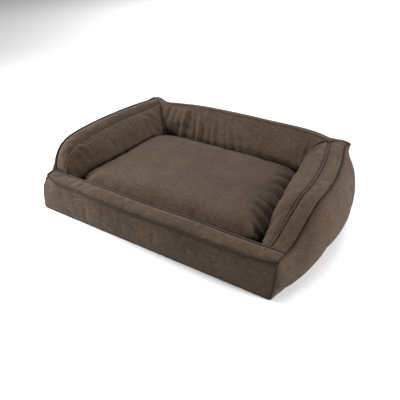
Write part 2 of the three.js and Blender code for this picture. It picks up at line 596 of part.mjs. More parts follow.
// The pull: two legs beside the slider's bridge, joined by a round bar under it, and a tab with a
// hole for the finger.
function zipPull(x, face, z) {
  const tab = new THREE.Shape();
  tab.moveTo(HINGE_X, -PULL_LEG);
  tab.lineTo(9, -2.4);
  tab.quadraticCurveTo(13, -4, 24, -4);
  tab.quadraticCurveTo(27, 0, 24, 4);
  tab.quadraticCurveTo(13, 4, 9, 2.4);
  tab.lineTo(HINGE_X, PULL_LEG);
  const grip = new THREE.Path();
  grip.absellipse(19.5, 0, 3, 1.6, 0, 2 * Math.PI, true);
  tab.holes.push(grip);
  const axisY = face + HINGE_UP;
  const leaf = solidOf(plateOf(tab, PULL_T, x, axisY - PULL_T / 2, z));
  const eye = solidOf(box(x, x + 7.6, axisY - 1, axisY + 1, z - 1.3, z + 1.3));
  const bar = new THREE.CylinderGeometry(BAR_R, BAR_R, 2 * PULL_LEG, 16).rotateX(Math.PI / 2);
  return fromSolid(leaf.subtract(eye).add(solidOf(bar.translate(x + HINGE_X, axisY, z))));
}

// ---- Seat cushion ----
// The outline at a share r of its size: a rounded rectangle.
function cushionRing(r, z, inset, count = 40) {
  return steps(0, 2 * Math.PI, count).slice(0, count).map((a) => {
    const power = 2 / CUSHION_SQUARENESS;
    const c = Math.sign(Math.cos(a)) * Math.abs(Math.cos(a)) ** power;
    const s = Math.sign(Math.sin(a)) * Math.abs(Math.sin(a)) ** power;
    return V(r * (CUSHION_HALF_X - inset) * c, CUSHION_Y + r * (CUSHION_HALF_Y - inset) * s, z);
  });
}

function cushionSolid(inset) {
  const swell = (r, p) => (1 - r ** p) ** 0.6;
  const foot = CUSHION_SEAM_Z - CUSHION_EDGE;
  const brow = CUSHION_SEAM_Z + CUSHION_EDGE;
  const high = CUSHION_CROWN - CUSHION_EDGE - inset;
  const low = CUSHION_BASE_Z + inset;
  const below = [0.2, 0.75, 0.92, 0.975].map((r) => cushionRing(r, lerp(foot, low, swell(r, 14)), inset));
  const shares = [0.985, 0.95, 0.88, 0.76, 0.58, 0.36, 0.12];
  const above = shares.map((r) => cushionRing(r, brow + high * swell(r, 4), inset));
  return loft([...below, cushionRing(1, foot, inset), cushionRing(1, brow, inset), ...above]);
}

function addSeatCushion() {
  const cushion = new THREE.Group();
  bed.add(cushion);
  const backFace = CUSHION_Y + CUSHION_HALF_Y;
  const zipY = backFace - 2;
  const far = 2 * CUSHION_HALF_X;
  const shell = solidOf(cushionSolid(0)).subtract(solidOf(cushionSolid(FABRIC)));
  const slitEnd = CUSHION_ZIP_HALF + ZIP_END_ROOM;
  const slitLow = CUSHION_SEAM_Z - ZIP_SLIT / 2;
  const zipRoom = solidOf(box(-slitEnd, slitEnd, zipY - 12, backFace + 9, slitLow, slitLow + ZIP_SLIT));
  const upper = solidOf(box(-far, far, -far, far, CUSHION_SEAM_Z + 0.4, 3 * CUSHION_SEAM_Z));
  const lower = solidOf(box(-far, far, -far, far, 0, CUSHION_SEAM_Z - 0.4));
  add("seat_cushion_top_panel", fromSolid(shell.intersect(upper).subtract(zipRoom)), cloth, cushion);
  add("seat_cushion_bottom_panel", fromSolid(shell.intersect(lower).subtract(zipRoom)), cloth, cushion);
  add("seat_cushion_fill", cushionSolid(CUSHION_FILL_ROOM), fibre, cushion);
  addZip("cushion", CUSHION_ZIP_HALF, zipY, CUSHION_SEAM_Z, cushion);
}

addBase();
addFillings();
addWalls();
addBands();
addInnerPanels();
addWelts();
addZip("cover", COVER_ZIP_HALF, BACK_Y, COVER_ZIP_Z, bed);
addSeatCushion();

export default bed;
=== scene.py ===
"""A sofa-style cushion bed for a pet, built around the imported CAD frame, in metres.

Every panel of the cover is its own sheet of cloth, stretched between its seams over the filling. A
cloth simulation puffs them out, all but the one below the back's zip. The seat cushion is one padded
form, simulated too. Welts, flanges, the zips' teeth and stitches, the quilted deck, the base and the
label are made in mesh code.
"""
import math

import bmesh
import bpy
import numpy as np
from mathutils import Matrix, Vector


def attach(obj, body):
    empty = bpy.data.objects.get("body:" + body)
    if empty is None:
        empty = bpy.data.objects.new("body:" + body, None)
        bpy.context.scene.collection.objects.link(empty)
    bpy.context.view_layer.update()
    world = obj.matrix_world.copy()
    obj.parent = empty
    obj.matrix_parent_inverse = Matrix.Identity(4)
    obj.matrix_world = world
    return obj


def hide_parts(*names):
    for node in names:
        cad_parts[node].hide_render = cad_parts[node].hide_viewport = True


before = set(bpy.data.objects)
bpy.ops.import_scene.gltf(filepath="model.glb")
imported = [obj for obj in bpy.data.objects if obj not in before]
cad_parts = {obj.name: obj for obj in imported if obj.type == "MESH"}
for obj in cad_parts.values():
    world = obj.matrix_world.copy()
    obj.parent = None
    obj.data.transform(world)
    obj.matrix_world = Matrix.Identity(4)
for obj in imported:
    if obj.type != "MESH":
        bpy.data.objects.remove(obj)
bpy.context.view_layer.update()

# ---- Driving dimensions ----
# The seams are where the CAD model has them, apart from the way that the arms climb. The swells and
# rolls of the cloth are set near the CAD's.
HALF_W = 0.457
FRONT_Y = -0.345
BACK_Y = 0.337
RAIL_BAND = 0.062
ARM_BAND = 0.058
BACK_BAND = 0.048
RAIL_H = 0.138
RAIL_CORNER_H = 0.146
RAIL_SAG = 0.020
ARM_H = 0.230
EAR_LIFT = 0.009
BACK_TILT = 0.014
BACK_ARCH = 0.022
LEFT_RISE = 0.032  # the left arm has made two thirds of its climb this far from the rail
RIGHT_RISE = 0.180  # the right arm has made all of it this far from the rail
LEFT_INNER_DROP = 0.008
EAR_X = 0.430
ARM_BOW = 0.043
FLOOR_CORNER_X = 0.443
FLOOR_BOW = 0.045
BELLY = 0.040
FRONT_PUFF = 0.008
UNDERCUT = 0.008
RAIL_OVERHANG = 0.007
BACK_PUFF = 0.015
BACK_FLAT_H = 0.068
WELL_HALF = 0.3535
WELL_FLARE = 0.020
ROLL_HALF_FRONT = 0.372
ROLL_HALF_BACK = 0.322
BACK_ROLL = 0.070
BACK_FOOT_Y = 0.2262
ROLL_DROP = 0.082
RAIL_ROLL = 0.005
BAND_CROWN = 0.010
DECK_H = 0.054
COVER_ZIP_Z = 0.038
COVER_ZIP_HALF = 0.330
CUSHION_ZIP_HALF = 0.190
ZIP_SLIT = 0.011

CUSHION_HALF_X = 0.350
CUSHION_HALF_Y = 0.246
CUSHION_Y = -0.028
CUSHION_SEAM_Z = 0.098
CUSHION_BASE_Z = 0.0546
CUSHION_TOP_Z = 0.156

RAIL_Y = FRONT_Y + RAIL_BAND
BACK_IN_Y = BACK_Y - BACK_BAND

CLOTH_T = 0.0016
GRID = 0.0075  # spacing of the cloth's grid
WELT_R = 0.0034
FLANGE_HALF_T = 0.0012
FLANGE_HALF_H = 0.0034
# The cloth behind an outer seam is drawn in the darkened flange cloth, as painted shade in the seam's
# groove.
ALLOWANCE_R = 0.0042  # the cloth behind an outer seam
SEAM_CALM = 0.020  # the cloth puffs freely this far from a seam
SIDEWAYS_SHARE = 0.8  # how much of the cloth's simulated creep within its own surface is kept
FILL_ROOM = 0.011  # between the cover's face and the filling
ZIP_TAPE_Y = 0.2125  # the cushion's cloth passes behind its zip's tapes here
CUSHION_ZIP_Y = 0.216  # the outer face of that zip
SIDES = ((1, "right"), (-1, "left"))


# ---- Numbers ----
def lerp(a, b, t):
    return a + (b - a) * t


def smooth(t):
    t = np.clip(t, 0, 1)
    return t * t * (3 - 2 * t)


def arch(t):
    return np.clip(4 * t * (1 - t), 0, 1)


def points_of(x, y, z):
    return np.stack(np.broadcast_arrays(x, y, z), axis=-1).astype(float)


# ---- The seams and faces of the cover; side is 1 for the right and -1 for the left ----
def arm_share(y):
    return np.clip((y - RAIL_Y) / (BACK_Y - RAIL_Y), 0, 1)


def seam_x(y):
    return HALF_W + (EAR_X - HALF_W) * arm_share(y) + ARM_BOW * arch(arm_share(y))


def arm_rise(side, y):
    run = np.maximum(0, y - RAIL_Y)
    risen = smooth(run / RIGHT_RISE) if side > 0 else 1 - np.exp(-run / LEFT_RISE)
    return (ARM_H - RAIL_H) * risen


def ear(distance):
    """1 on the flat top of an ear, 0 away from it."""
    return np.exp(-((np.abs(distance) / 0.042) ** 3))


def seam_z(side, y):
    rail_end = (RAIL_CORNER_H - RAIL_H) * np.clip((RAIL_Y - y) / RAIL_BAND, 0, 1)
    return RAIL_H + rail_end + arm_rise(side, y) + EAR_LIFT * ear(BACK_Y - y)


def inner_seam_x(y):
    return seam_x(y) - ARM_BAND


def inner_seam_z(side, y):
    lower = smooth((y - RAIL_Y) / 0.060) * smooth((BACK_IN_Y - y) / 0.060)
    return RAIL_H + arm_rise(side, y) - (LEFT_INNER_DROP * lower if side < 0 else 0)


CORNER_IN_X = float(inner_seam_x(BACK_IN_Y))


def back_rise(share):
    """How far the back has risen, at a share of the way from its middle (0) to a corner (1 or -1)."""
    return BACK_ARCH * (1 - np.minimum(1, np.abs(share)) ** np.where(share < 0, 3.0, 6.0))


def back_seam_z(x):
    return ARM_H - BACK_TILT + back_rise(x / CORNER_IN_X) + (EAR_LIFT + BACK_TILT) * ear(EAR_X - np.abs(x))


def rail_seam_z(x):
    return RAIL_CORNER_H - RAIL_SAG * (1 - (np.abs(x) / HALF_W) ** 4)


def side_wall(side, u, w):
    y = lerp(FRONT_Y, BACK_Y, u)
    floor_x = FLOOR_CORNER_X + FLOOR_BOW * arch(u)
    fuller = 1.0 + (0.30 if side > 0 else 0.10)
    puff = BELLY * fuller * (1 + 0.3 * u) * np.sin(math.pi * w) ** 0.8 * arch(u) ** 0.5
    return points_of(side * (lerp(floor_x, seam_x(y), w) + puff), y, seam_z(side, y) * w)


def front_wall(u, w):
    x = (2 * u - 1) * lerp(FLOOR_CORNER_X, HALF_W, w)
    bulge = FRONT_PUFF * np.sin(math.pi * w**0.8) - UNDERCUT * u**0.7 * np.exp(-(((0.86 - w) / 0.13) ** 2))
    return points_of(x, FRONT_Y - bulge * arch(u) ** 0.4, rail_seam_z(x) * w)


def back_wall(u, z_share, low, high):
    """The back between two heights; high is None for the seam."""
    seam = back_seam_z((2 * u - 1) * EAR_X)
    z = lerp(low, seam if high is None else high, z_share)
    half = lerp(FLOOR_CORNER_X, EAR_X, np.clip(z / ARM_H, 0, 1))
    q = np.clip((z - BACK_FLAT_H) / (seam - BACK_FLAT_H), 0, 1)
    y = BACK_Y + BACK_PUFF * np.sin(math.pi * q) * arch(u) ** 0.5
    return points_of((2 * u - 1) * half, y, z)


def slit_half(u):
    """Half the height of the back's opening over the zip, closed past the zip's ends."""
    beyond = np.abs(2 * u - 1) * EAR_X - COVER_ZIP_HALF - 0.003
    return lerp(ZIP_SLIT / 2, 0.0, smooth(beyond / 0.010))


def arm_band(side, u, v):
    y = lerp(RAIL_Y, lerp(BACK_Y, BACK_IN_Y, v), u)
    z = lerp(seam_z(side, y), inner_seam_z(side, y), v)
    crown = BAND_CROWN * arch(v) * (0.35 + 0.65 * smooth((y - RAIL_Y) / 0.060))
    return points_of(side * (seam_x(y) - ARM_BAND * v), y, z + crown)


def back_band(u, v):
    share = 2 * u - 1
    z = lerp(back_seam_z(share * EAR_X), ARM_H + back_rise(share), v)
    x = share * lerp(EAR_X, CORNER_IN_X, v)
    return points_of(x, lerp(BACK_Y, BACK_IN_Y, v), z + BAND_CROWN * 0.5 * arch(v))


def rail_band(u, v):
    x = lerp(-HALF_W, HALF_W, u)
    z = lerp(rail_seam_z(x), RAIL_H, v) + BAND_CROWN * arch(v) ** 0.8 * arch(u) ** 0.2
    overhang = RAIL_OVERHANG * np.sin(math.pi * np.clip(v / 0.5, 0, 1)) * arch(u) ** 0.3
    return points_of(x, lerp(FRONT_Y, RAIL_Y, v) - overhang, z)


ROLL_SHARE = 0.6
ROLL_LEAN = math.radians(12)  # how far past level an inner face starts from its seam
ARM_SLANT = {1: 0.0, -1: 0.45}  # 0 for a round face and 1 for one that slants straight down
BACK_SLANT = 0.75


def roll(q, slant=0.0):
    """Share of the way in, and share of the drop, along the rolled top of an inner face."""
    angle = lerp(-ROLL_LEAN, math.pi / 2, np.clip(q / ROLL_SHARE, 0, 1))
    inwards = (np.sin(angle) + math.sin(ROLL_LEAN)) / (1 + math.sin(ROLL_LEAN))
    drop = (math.cos(ROLL_LEAN) - np.cos(angle)) / math.cos(ROLL_LEAN)
    return lerp(inwards, drop, slant), drop


def tuck(q):
    """How far an inner face has gone back out, below its roll, where the cushion lies."""
    return smooth((q - ROLL_SHARE) / (1 - ROLL_SHARE) * 1.5)


def inner_height(seam_height, q, drop=ROLL_DROP):
    rolled = np.minimum(drop, ROLL_SHARE * (seam_height - DECK_H)) * roll(q)[1]
    below = np.clip((q - ROLL_SHARE) / (1 - ROLL_SHARE), 0, 1)
    return lerp(seam_height - rolled, DECK_H, below)


def roll_x(y):
    """The bolsters grow fatter towards the back."""
    return lerp(ROLL_HALF_FRONT, ROLL_HALF_BACK, np.clip((y - RAIL_Y) / (BACK_IN_Y - RAIL_Y), 0, 1) ** 0.9)


def foot_x(y):
    return WELL_HALF + WELL_FLARE * (1 - smooth((y - RAIL_Y) / 0.110)) - 0.030 * smooth((y - 0.12) / 0.16)


def face_x(side, y, q):
    rolled = lerp(inner_seam_x(y), roll_x(y), roll(q, ARM_SLANT[side])[0])
    return lerp(rolled, foot_x(y), tuck(q))


def back_face_y(q):
    return lerp(BACK_IN_Y - BACK_ROLL * roll(q, BACK_SLANT)[0], BACK_FOOT_Y, tuck(q))


def back_face_z(share, q):
    """share runs from -1 at the back's left corner to 1 at its right one."""
    rise = back_rise(share)
    return inner_height(ARM_H + rise, q, ROLL_DROP + 0.8 * rise)


def arm_inner(side, u, q):
    y = lerp(RAIL_Y, back_face_y(q), u)
    return points_of(side * face_x(side, y, q), y, inner_height(inner_seam_z(side, y), q))


def back_inner(u, q):
    y = back_face_y(q)
    return points_of(lerp(-face_x(-1, y, q), face_x(1, y, q), u), y, back_face_z(2 * u - 1, q))


def rail_inner(u, q):
    y = RAIL_Y + RAIL_ROLL * np.sin(math.pi / 2 * np.clip(3 * q, 0, 1))
    return points_of((2 * u - 1) * inner_seam_x(RAIL_Y), y, lerp(RAIL_H, DECK_H, q))


# ---- The hand-made unevenness of the whole cover ----
WAVES = np.random.RandomState(11)
WAVE_DIRS = WAVES.normal(size=(7, 3))
WAVE_DIRS /= np.linalg.norm(WAVE_DIRS, axis=1)[:, None]
WAVE_LENGTHS = WAVES.uniform(0.13, 0.36, 7)
WAVE_PHASES = WAVES.uniform(0, 2 * math.pi, 7)
WAVE_MOVES = WAVES.normal(size=(7, 3)) * 0.0008

# Corners that sit differently from the pattern: where, how far they reach, and their shift.
CORNERS = (
    ((EAR_X, BACK_Y, ARM_H + EAR_LIFT), 0.038, (0.022, -0.002, -0.022)),
    ((-EAR_X, BACK_Y, ARM_H + EAR_LIFT), 0.045, (-0.012, 0.000, -0.012)),
    ((-HALF_W, FRONT_Y, RAIL_CORNER_H), 0.035, (0.008, 0.014, -0.003)),
    ((HALF_W, FRONT_Y, RAIL_CORNER_H), 0.035, (-0.004, 0.004, 0.000)),
)
FOOT_SPREAD = 0.036  # how far the front left corner splays out at the floor


def settle(points):
    """Moves points of the cover a little, all its pieces together, and drags its corners.
    Low on the back, where the zip runs straight, nothing moves."""
    moved = np.zeros_like(points)
    for direction, length, phase, move in zip(WAVE_DIRS, WAVE_LENGTHS, WAVE_PHASES, WAVE_MOVES):
        wave = np.sin(points @ direction * (2 * math.pi / length) + phase)
        moved += wave[..., None] * move
    height = smooth(points[..., 2] / 0.10)
    at_zip = smooth((points[..., 1] - 0.25) / 0.05) * (1 - smooth((points[..., 2] - 0.07) / 0.06))
    moved *= (height * (1 - at_zip))[..., None]
    for place, reach, shift in CORNERS:
        near = np.exp(-np.sum((points - np.array(place)) ** 2, axis=-1) / reach**2)
        moved += near[..., None] * np.array(shift)
    low = 1 - smooth(points[..., 2] / (1.1 * RAIL_CORNER_H))
    left = smooth((-points[..., 0] - 0.10) / (HALF_W - 0.10))
    front = 1 - smooth((points[..., 1] - FRONT_Y) / 0.42)
    moved[..., 0] -= FOOT_SPREAD * low * (left * front)
    return points + moved


# ---- Meshes ----
def link_new(name, data):
    obj = bpy.data.objects.new(name, data)
    bpy.context.scene.collection.objects.link(obj)
    return obj


def new_object(name, vertices, faces, material, flat=False):
    mesh = bpy.data.meshes.new(name)
    mesh.from_pydata([tuple(v) for v in vertices], [], [tuple(f) for f in faces])
    mesh.update()
    if not flat:
        mesh.polygons.foreach_set("use_smooth", [True] * len(mesh.polygons))
    mesh.materials.append(material)
    return link_new(name, mesh)


def object_from(work, name, material):
    """A flat-shaded object from a bmesh, which is freed."""
    mesh = bpy.data.meshes.new(name)
    work.to_mesh(mesh)
    work.free()
    mesh.materials.append(material)
    return link_new(name, mesh)


def read_vectors(collection, field):
    values = np.zeros(len(collection) * 3, np.float32)
    collection.foreach_get(field, values)
    return values.reshape(-1, 3).astype(float)


def set_vertices(obj, points):
    obj.data.vertices.foreach_set("co", points.reshape(-1).astype(np.float32))
    obj.data.update()


def segment_distance(points, start, end):
    """How far each flat point is from a segment, and how far along it the nearest spot lies."""
    a, b = np.array(start), np.array(end)
    share = np.clip(((points - a) @ (b - a)) / float((b - a) @ (b - a)), 0, 1)
    return np.linalg.norm(points - (a + share[..., None] * (b - a)), axis=-1), share


def tube_faces(rings, sides):
    """The faces of a closed tube of so many rings, each with so many points."""
    faces = []
    for k in range(rings - 1):
        for i in range(sides):
            j = (i + 1) % sides
            faces.append((k * sides + i, k * sides + j, (k + 1) * sides + j, (k + 1) * sides + i))
    faces.append(tuple(range(sides))[::-1])
    faces.append(tuple((rings - 1) * sides + i for i in range(sides)))
    return faces


def grid_faces(nu, nv, flip=False):
    i, j = np.meshgrid(np.arange(nu - 1), np.arange(nv - 1))
    a = (j * nu + i).ravel()
    quads = np.stack([a, a + 1, a + nu + 1, a + nu], axis=1)
    return quads[:, ::-1] if flip else quads


def grid_normals(points):
    du = np.gradient(points, axis=1)
    dv = np.gradient(points, axis=0)
    normal = np.cross(du, dv)
    return normal / np.maximum(np.linalg.norm(normal, axis=-1, keepdims=True), 1e-12)


# Which edges of a panel sink into their seams: those at u = 0, u = 1, v = 0 and v = 1.
NO_EDGE = (False, False, False, False)
V_END = (False, False, False, True)
ALL_BUT_V_END = (True, True, True, False)
ALL_EDGES = (True, True, True, True)


class Panel:
    """A sheet of cloth that stands for a CAD node and rests on another: a grid of points,
    facing outwards."""

    def __init__(self, name, at, flip, node, rests_on, sunk=ALL_EDGES, spacing=GRID):
        u, v = np.meshgrid(np.linspace(0, 1, 40), np.linspace(0, 1, 40))
        coarse = at(u, v)
        self.length = float(np.linalg.norm(np.diff(coarse, axis=1), axis=-1).sum(axis=1).mean())
        self.width = float(np.linalg.norm(np.diff(coarse, axis=0), axis=-1).sum(axis=0).mean())
        self.nu = max(4, int(round(self.length / spacing)) + 1)
        self.nv = max(4, int(round(self.width / spacing)) + 1)
        self.u, self.v = np.meshgrid(np.linspace(0, 1, self.nu), np.linspace(0, 1, self.nv))
        self.name, self.node, self.rests_on, self.flip, self.sunk = name, node, rests_on, flip, sunk
        self.points = settle(at(self.u, self.v))

    def normals(self):
        return grid_normals(self.points) * (-1 if self.flip else 1)

    def edge_distance(self):
        """How far each point is from the nearest sunk edge."""
        far = 1.0
        edges = [self.u * self.length, (1 - self.u) * self.length]
        edges += [self.v * self.width, (1 - self.v) * self.width]
        return np.minimum.reduce([d if on else np.full_like(d, far) for d, on in zip(edges, self.sunk)])

    def across(self):
        """How far each point is from the nearer of the two seams that run along the panel."""
        return np.minimum(self.v * self.width, (1 - self.v) * self.width)

    def make(self, material):
        faces = grid_faces(self.nu, self.nv, self.flip)
        self.obj = new_object(self.name, self.points.reshape(-1, 3), faces, material)

    def declare(self, slot="cover_cloth", held="stretched"):
        ride_as(self.obj, self.node)


def ride_as(obj, node):
    """obj rides with the cover in place of a CAD node."""
    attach(obj, "cover")
    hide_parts(node)


def ride_new(obj, body="cover"):
    """obj rides with a body."""
    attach(obj, body)


def thicken(obj, thickness=CLOTH_T):
    modifier = obj.modifiers.new("cloth thickness", "SOLIDIFY")
    modifier.thickness = thickness
    modifier.offset = -1


def subdivide(obj):
    modifier = obj.modifiers.new("finer", "SUBSURF")
    modifier.levels = modifier.render_levels = 1


def pin_border(panel):
    border = np.ones((panel.nv, panel.nu), bool)
    border[1:-1, 1:-1] = False
    group = panel.obj.vertex_groups.new(name="pin")
    group.add([int(i) for i in np.flatnonzero(border.ravel())], 1.0, "REPLACE")


def add_cloth(obj, pressure, spare, stiffness=12.0, bending=0.4):
    cloth = obj.modifiers.new("cloth", "CLOTH").settings
    cloth.quality = 6
    cloth.mass = 0.25
    cloth.tension_stiffness = stiffness
    cloth.compression_stiffness = stiffness
    cloth.shear_stiffness = stiffness / 2
    cloth.bending_stiffness = bending
    cloth.air_damping = 2.0
    if "pin" in obj.vertex_groups:
        cloth.vertex_group_mass = "pin"
    cloth.use_pressure = True
    cloth.uniform_pressure_force = pressure
    cloth.shrink_min = -spare
    cloth.effector_weights.gravity = 0
    obj.modifiers["cloth"].collision_settings.use_collision = False


def run_frames(last):
    scene = bpy.context.scene
    scene.frame_start, scene.frame_end = 1, last
    for number in range(1, last + 1):
        scene.frame_set(number)


def taken_shape(obj):
    """The vertices of obj as its modifiers leave them now; the cloth modifier then goes."""
    evaluated = obj.evaluated_get(bpy.context.evaluated_depsgraph_get())
    shape = read_vectors(evaluated.data.vertices, "co")
    obj.modifiers.remove(obj.modifiers["cloth"])
    return shape


def soft_cap(value, low, high):
    """value, bent so that it stays between low (below 0) and high (above 0)."""
    return np.where(value > 0, high * np.tanh(value / high), low * np.tanh(value / low))


def puff_panels(panels, frames=20):
    """Lets each panel's cloth, cut a little larger than its place, billow between its seams."""
    for panel in panels:
        pin_border(panel)
        add_cloth(panel.obj, pressure=panel.pressure, spare=panel.spare)
    run_frames(frames)
    for panel in panels:
        simulated = taken_shape(panel.obj).reshape(panel.points.shape)
        normals = panel.normals()
        moved = (simulated - panel.points) * smooth(panel.across() / SEAM_CALM)[..., None]
        along = np.sum(moved * normals, axis=-1, keepdims=True)
        sideways = moved - along * normals
        capped = soft_cap(along, -panel.inward, panel.outward)
        panel.points = panel.points + capped * normals + SIDEWAYS_SHARE * sideways
    bpy.context.scene.frame_set(1)


def sink_edges(panel, depth=0.0034, reach=0.008):
    """Rolls the cloth down into the groove of its seam."""
    down = depth * np.exp(-((panel.edge_distance() / reach) ** 2))
    panel.points = panel.points - down[..., None] * panel.normals()


def press_crease(panel, start, end, width, depth, ridge=0.45):
    """A fold pressed into the cloth along a line from start to end, each a (u, v) of the panel."""
    size = np.array([panel.length, panel.width])
    here = np.stack([panel.u, panel.v], axis=-1) * size
    away, share = segment_distance(here, np.array(start) * size, np.array(end) * size)
    taper = np.sin(math.pi * np.clip(0.12 + 0.80 * share, 0, 1)) ** 0.8
    valley = -depth * np.exp(-((away / width) ** 2))
    hump = ridge * depth * np.exp(-(((away - 2.0 * width) / (1.1 * width)) ** 2))
    panel.points = panel.points + ((valley + hump) * taper)[..., None] * panel.normals()


# ---- Materials ----
def socket(node, name):
    return next(s for s in node.inputs if s.name == name and s.enabled)


def set_inputs(node, **values):
    """Sets inputs by name, where an underscore stands for a space."""
    for name, value in values.items():
        node.inputs[name.replace("_", " ")].default_value = value


class Nodes:
    """Short calls for building a material's node tree."""

    def __init__(self, name):
        self.material = bpy.data.materials.new(name)
        self.material.use_nodes = True
        self.tree = self.material.node_tree
        self.shader = self.tree.nodes["Principled BSDF"]
        self.coords = self.tree.nodes.new("ShaderNodeTexCoord").outputs["Object"]

    def node(self, kind, **values):
        node = self.tree.nodes.new(kind)
        for key, value in values.items():
            setattr(node, key, value)
        return node

    def link(self, source, target):
        self.tree.links.new(source, target)

    def mapped(self, scale):
        node = self.node("ShaderNodeMapping")
        set_inputs(node, Scale=scale)
        self.link(self.coords, node.inputs["Vector"])
        return node.outputs["Vector"]

    def noise(self, vector, scale, detail=2.0, roughness=0.5):
        node = self.node("ShaderNodeTexNoise")
        set_inputs(node, Scale=scale, Detail=detail, Roughness=roughness)
        self.link(vector, node.inputs["Vector"])
        return node.outputs["Fac"]

    def wave(self, direction, scale, distortion=0.0):
        node = self.node("ShaderNodeTexWave", wave_type="BANDS", bands_direction=direction)
        set_inputs(node, Scale=scale, Distortion=distortion, Detail_Scale=3.0)
        self.link(self.coords, node.inputs["Vector"])
        return node.outputs["Fac"]

    def math(self, operation, a, b):
        node = self.node("ShaderNodeMath", operation=operation)
        for value, target in ((a, node.inputs[0]), (b, node.inputs[1])):
            if isinstance(value, (int, float)):
                target.default_value = value
            else:
                self.link(value, target)
        return node.outputs[0]

    def spread(self, value, low, high, start=0.3, end=0.7):
        """value, from start to end, stretched to run from low to high."""
        node = self.node("ShaderNodeMapRange")
        set_inputs(node, From_Min=start, From_Max=end, To_Min=low, To_Max=high)
        self.link(value, node.inputs["Value"])
        return node.outputs["Result"]

    def tint(self, colour, factor):
        """colour times a grey factor."""
        node = self.node("ShaderNodeMix", data_type="RGBA", blend_type="MULTIPLY")
        socket(node, "Factor").default_value = 1.0
        socket(node, "A").default_value = colour
        grey = self.node("ShaderNodeCombineColor")
        for channel in ("Red", "Green", "Blue"):
            self.link(factor, grey.inputs[channel])
        self.link(grey.outputs["Color"], socket(node, "B"))
        return next(s for s in node.outputs if s.name == "Result" and s.enabled)

    def bump(self, height, distance, strength=1.0, below=None):
        node = self.node("ShaderNodeBump")
        set_inputs(node, Distance=distance, Strength=strength)
        self.link(height, node.inputs["Height"])
        if below is not None:
            self.link(below, node.inputs["Normal"])
        return node.outputs["Normal"]

    def finish(self, colour=None, normal=None, roughness=0.9, sheen=0.0, metallic=0.0, specular=0.3):
        if colour is not None:
            self.link(colour, self.shader.inputs["Base Color"])
        if normal is not None:
            self.link(normal, self.shader.inputs["Normal"])
        set_inputs(self.shader, Roughness=roughness, Metallic=metallic, Specular_IOR_Level=specular,
                   Sheen_Weight=sheen, Sheen_Roughness=0.45)
        return self.material


def drawn_out(axis, along, across):
    """A noise's scale on each axis, with its blobs drawn out along one of them."""
    return tuple(along if name == axis else across for name in "xyz")


def upholstery(name, colour, along, slub=0.26, mottle=0.12):
    """Heathered brown upholstery cloth: slubs along one axis, a soft mottle, and a plain weave."""
    n = Nodes(name)
    stretch = drawn_out(along, 55, 330)
    slubs = n.spread(n.noise(n.mapped(stretch), 1.0, 3.0, 0.6), 1 - slub, 1 + slub)
    patches = n.spread(n.noise(n.coords, 9.0, 3.0, 0.55), 1 - mottle, 1 + mottle)
    flecks = n.spread(n.noise(n.coords, 260.0, 3.0, 0.75), 0.74, 1.26)
    shade = n.math("MULTIPLY", n.math("MULTIPLY", slubs, patches), flecks)
    thick = n.noise(n.mapped(drawn_out(along, 30, 260)), 1.3, 1.0, 0.4)
    shade = n.math("MULTIPLY", shade, n.spread(thick, 1.0, 1.5, 0.60, 0.78))
    threads = n.math("ADD", n.math("ADD", n.wave("X", 95, 0.4), n.wave("Y", 95, 0.4)), n.wave("Z", 95, 0.4))
    shade = n.math("MULTIPLY", shade, n.math("ADD", n.math("MULTIPLY", threads, 0.10), 0.85))
    lumps = n.bump(n.noise(n.coords, 26.0, 2.0, 0.5), 0.0016)
    fuzz = n.bump(n.noise(n.mapped(stretch), 2.0, 2.0, 0.6), 0.0007, 0.8, lumps)
    weave = n.bump(threads, 0.0004, 0.8, fuzz)
    return n.finish(n.tint(colour, shade), weave, roughness=0.95, sheen=0.05, specular=0.12)


def plain_weave(name, colour, scale, roughness=0.85):
    """A plain woven tape or lining, its threads running with the axes."""
    n = Nodes(name)
    threads = n.math("ADD", n.wave("X", scale, 0.2), n.wave("Z", scale, 0.2))
    shade = n.spread(n.noise(n.coords, 160.0, 2.0, 0.6), 0.85, 1.15)
    shade = n.math("MULTIPLY", shade, n.math("ADD", n.math("MULTIPLY", threads, 0.12), 0.86))
    return n.finish(n.tint(colour, shade), n.bump(threads, 0.0003), roughness=roughness)


def fluffy(name, colour, scale, depth):
    """Stuffing, or the open cells of foam."""
    n = Nodes(name)
    tufts = n.noise(n.coords, scale, 4.0, 0.65)
    shaded = n.tint(colour, n.spread(tufts, 0.86, 1.08))
    return n.finish(shaded, n.bump(tufts, depth), roughness=0.95, sheen=0.1)


def metal(name, colour):
    n = Nodes(name)
    grain = n.noise(n.coords, 900.0, 3.0, 0.6)
    finished = n.tint(colour, n.spread(grain, 0.92, 1.06))
    return n.finish(finished, n.bump(grain, 0.00005), roughness=0.34, metallic=1.0, specular=0.5)


BROWN = (0.0578, 0.0385, 0.0262, 1)

cloth_along_x = upholstery("cover cloth, slubs across", BROWN, "x")
cloth_along_y = upholstery("cover cloth, slubs front to back", BROWN, "y")
# The cushion's cloth is the cover's brown made about a tenth darker: painted shade on the cushion, whose
# top the overhead light falls on most.
shaded_cushion_cloth = upholstery("cushion cloth, darkened as painted shade", (0.0528, 0.0345, 0.0238, 1), "x")
# The welt cloth is the cover's brown made about a sixth darker: painted shade for the grooves beside the
# welts and along the floor edge.
shaded_welt_cloth = upholstery("welt cloth, darkened as painted seam shade", (0.049, 0.033, 0.0235, 1), "x", slub=0.10, mottle=0.06)
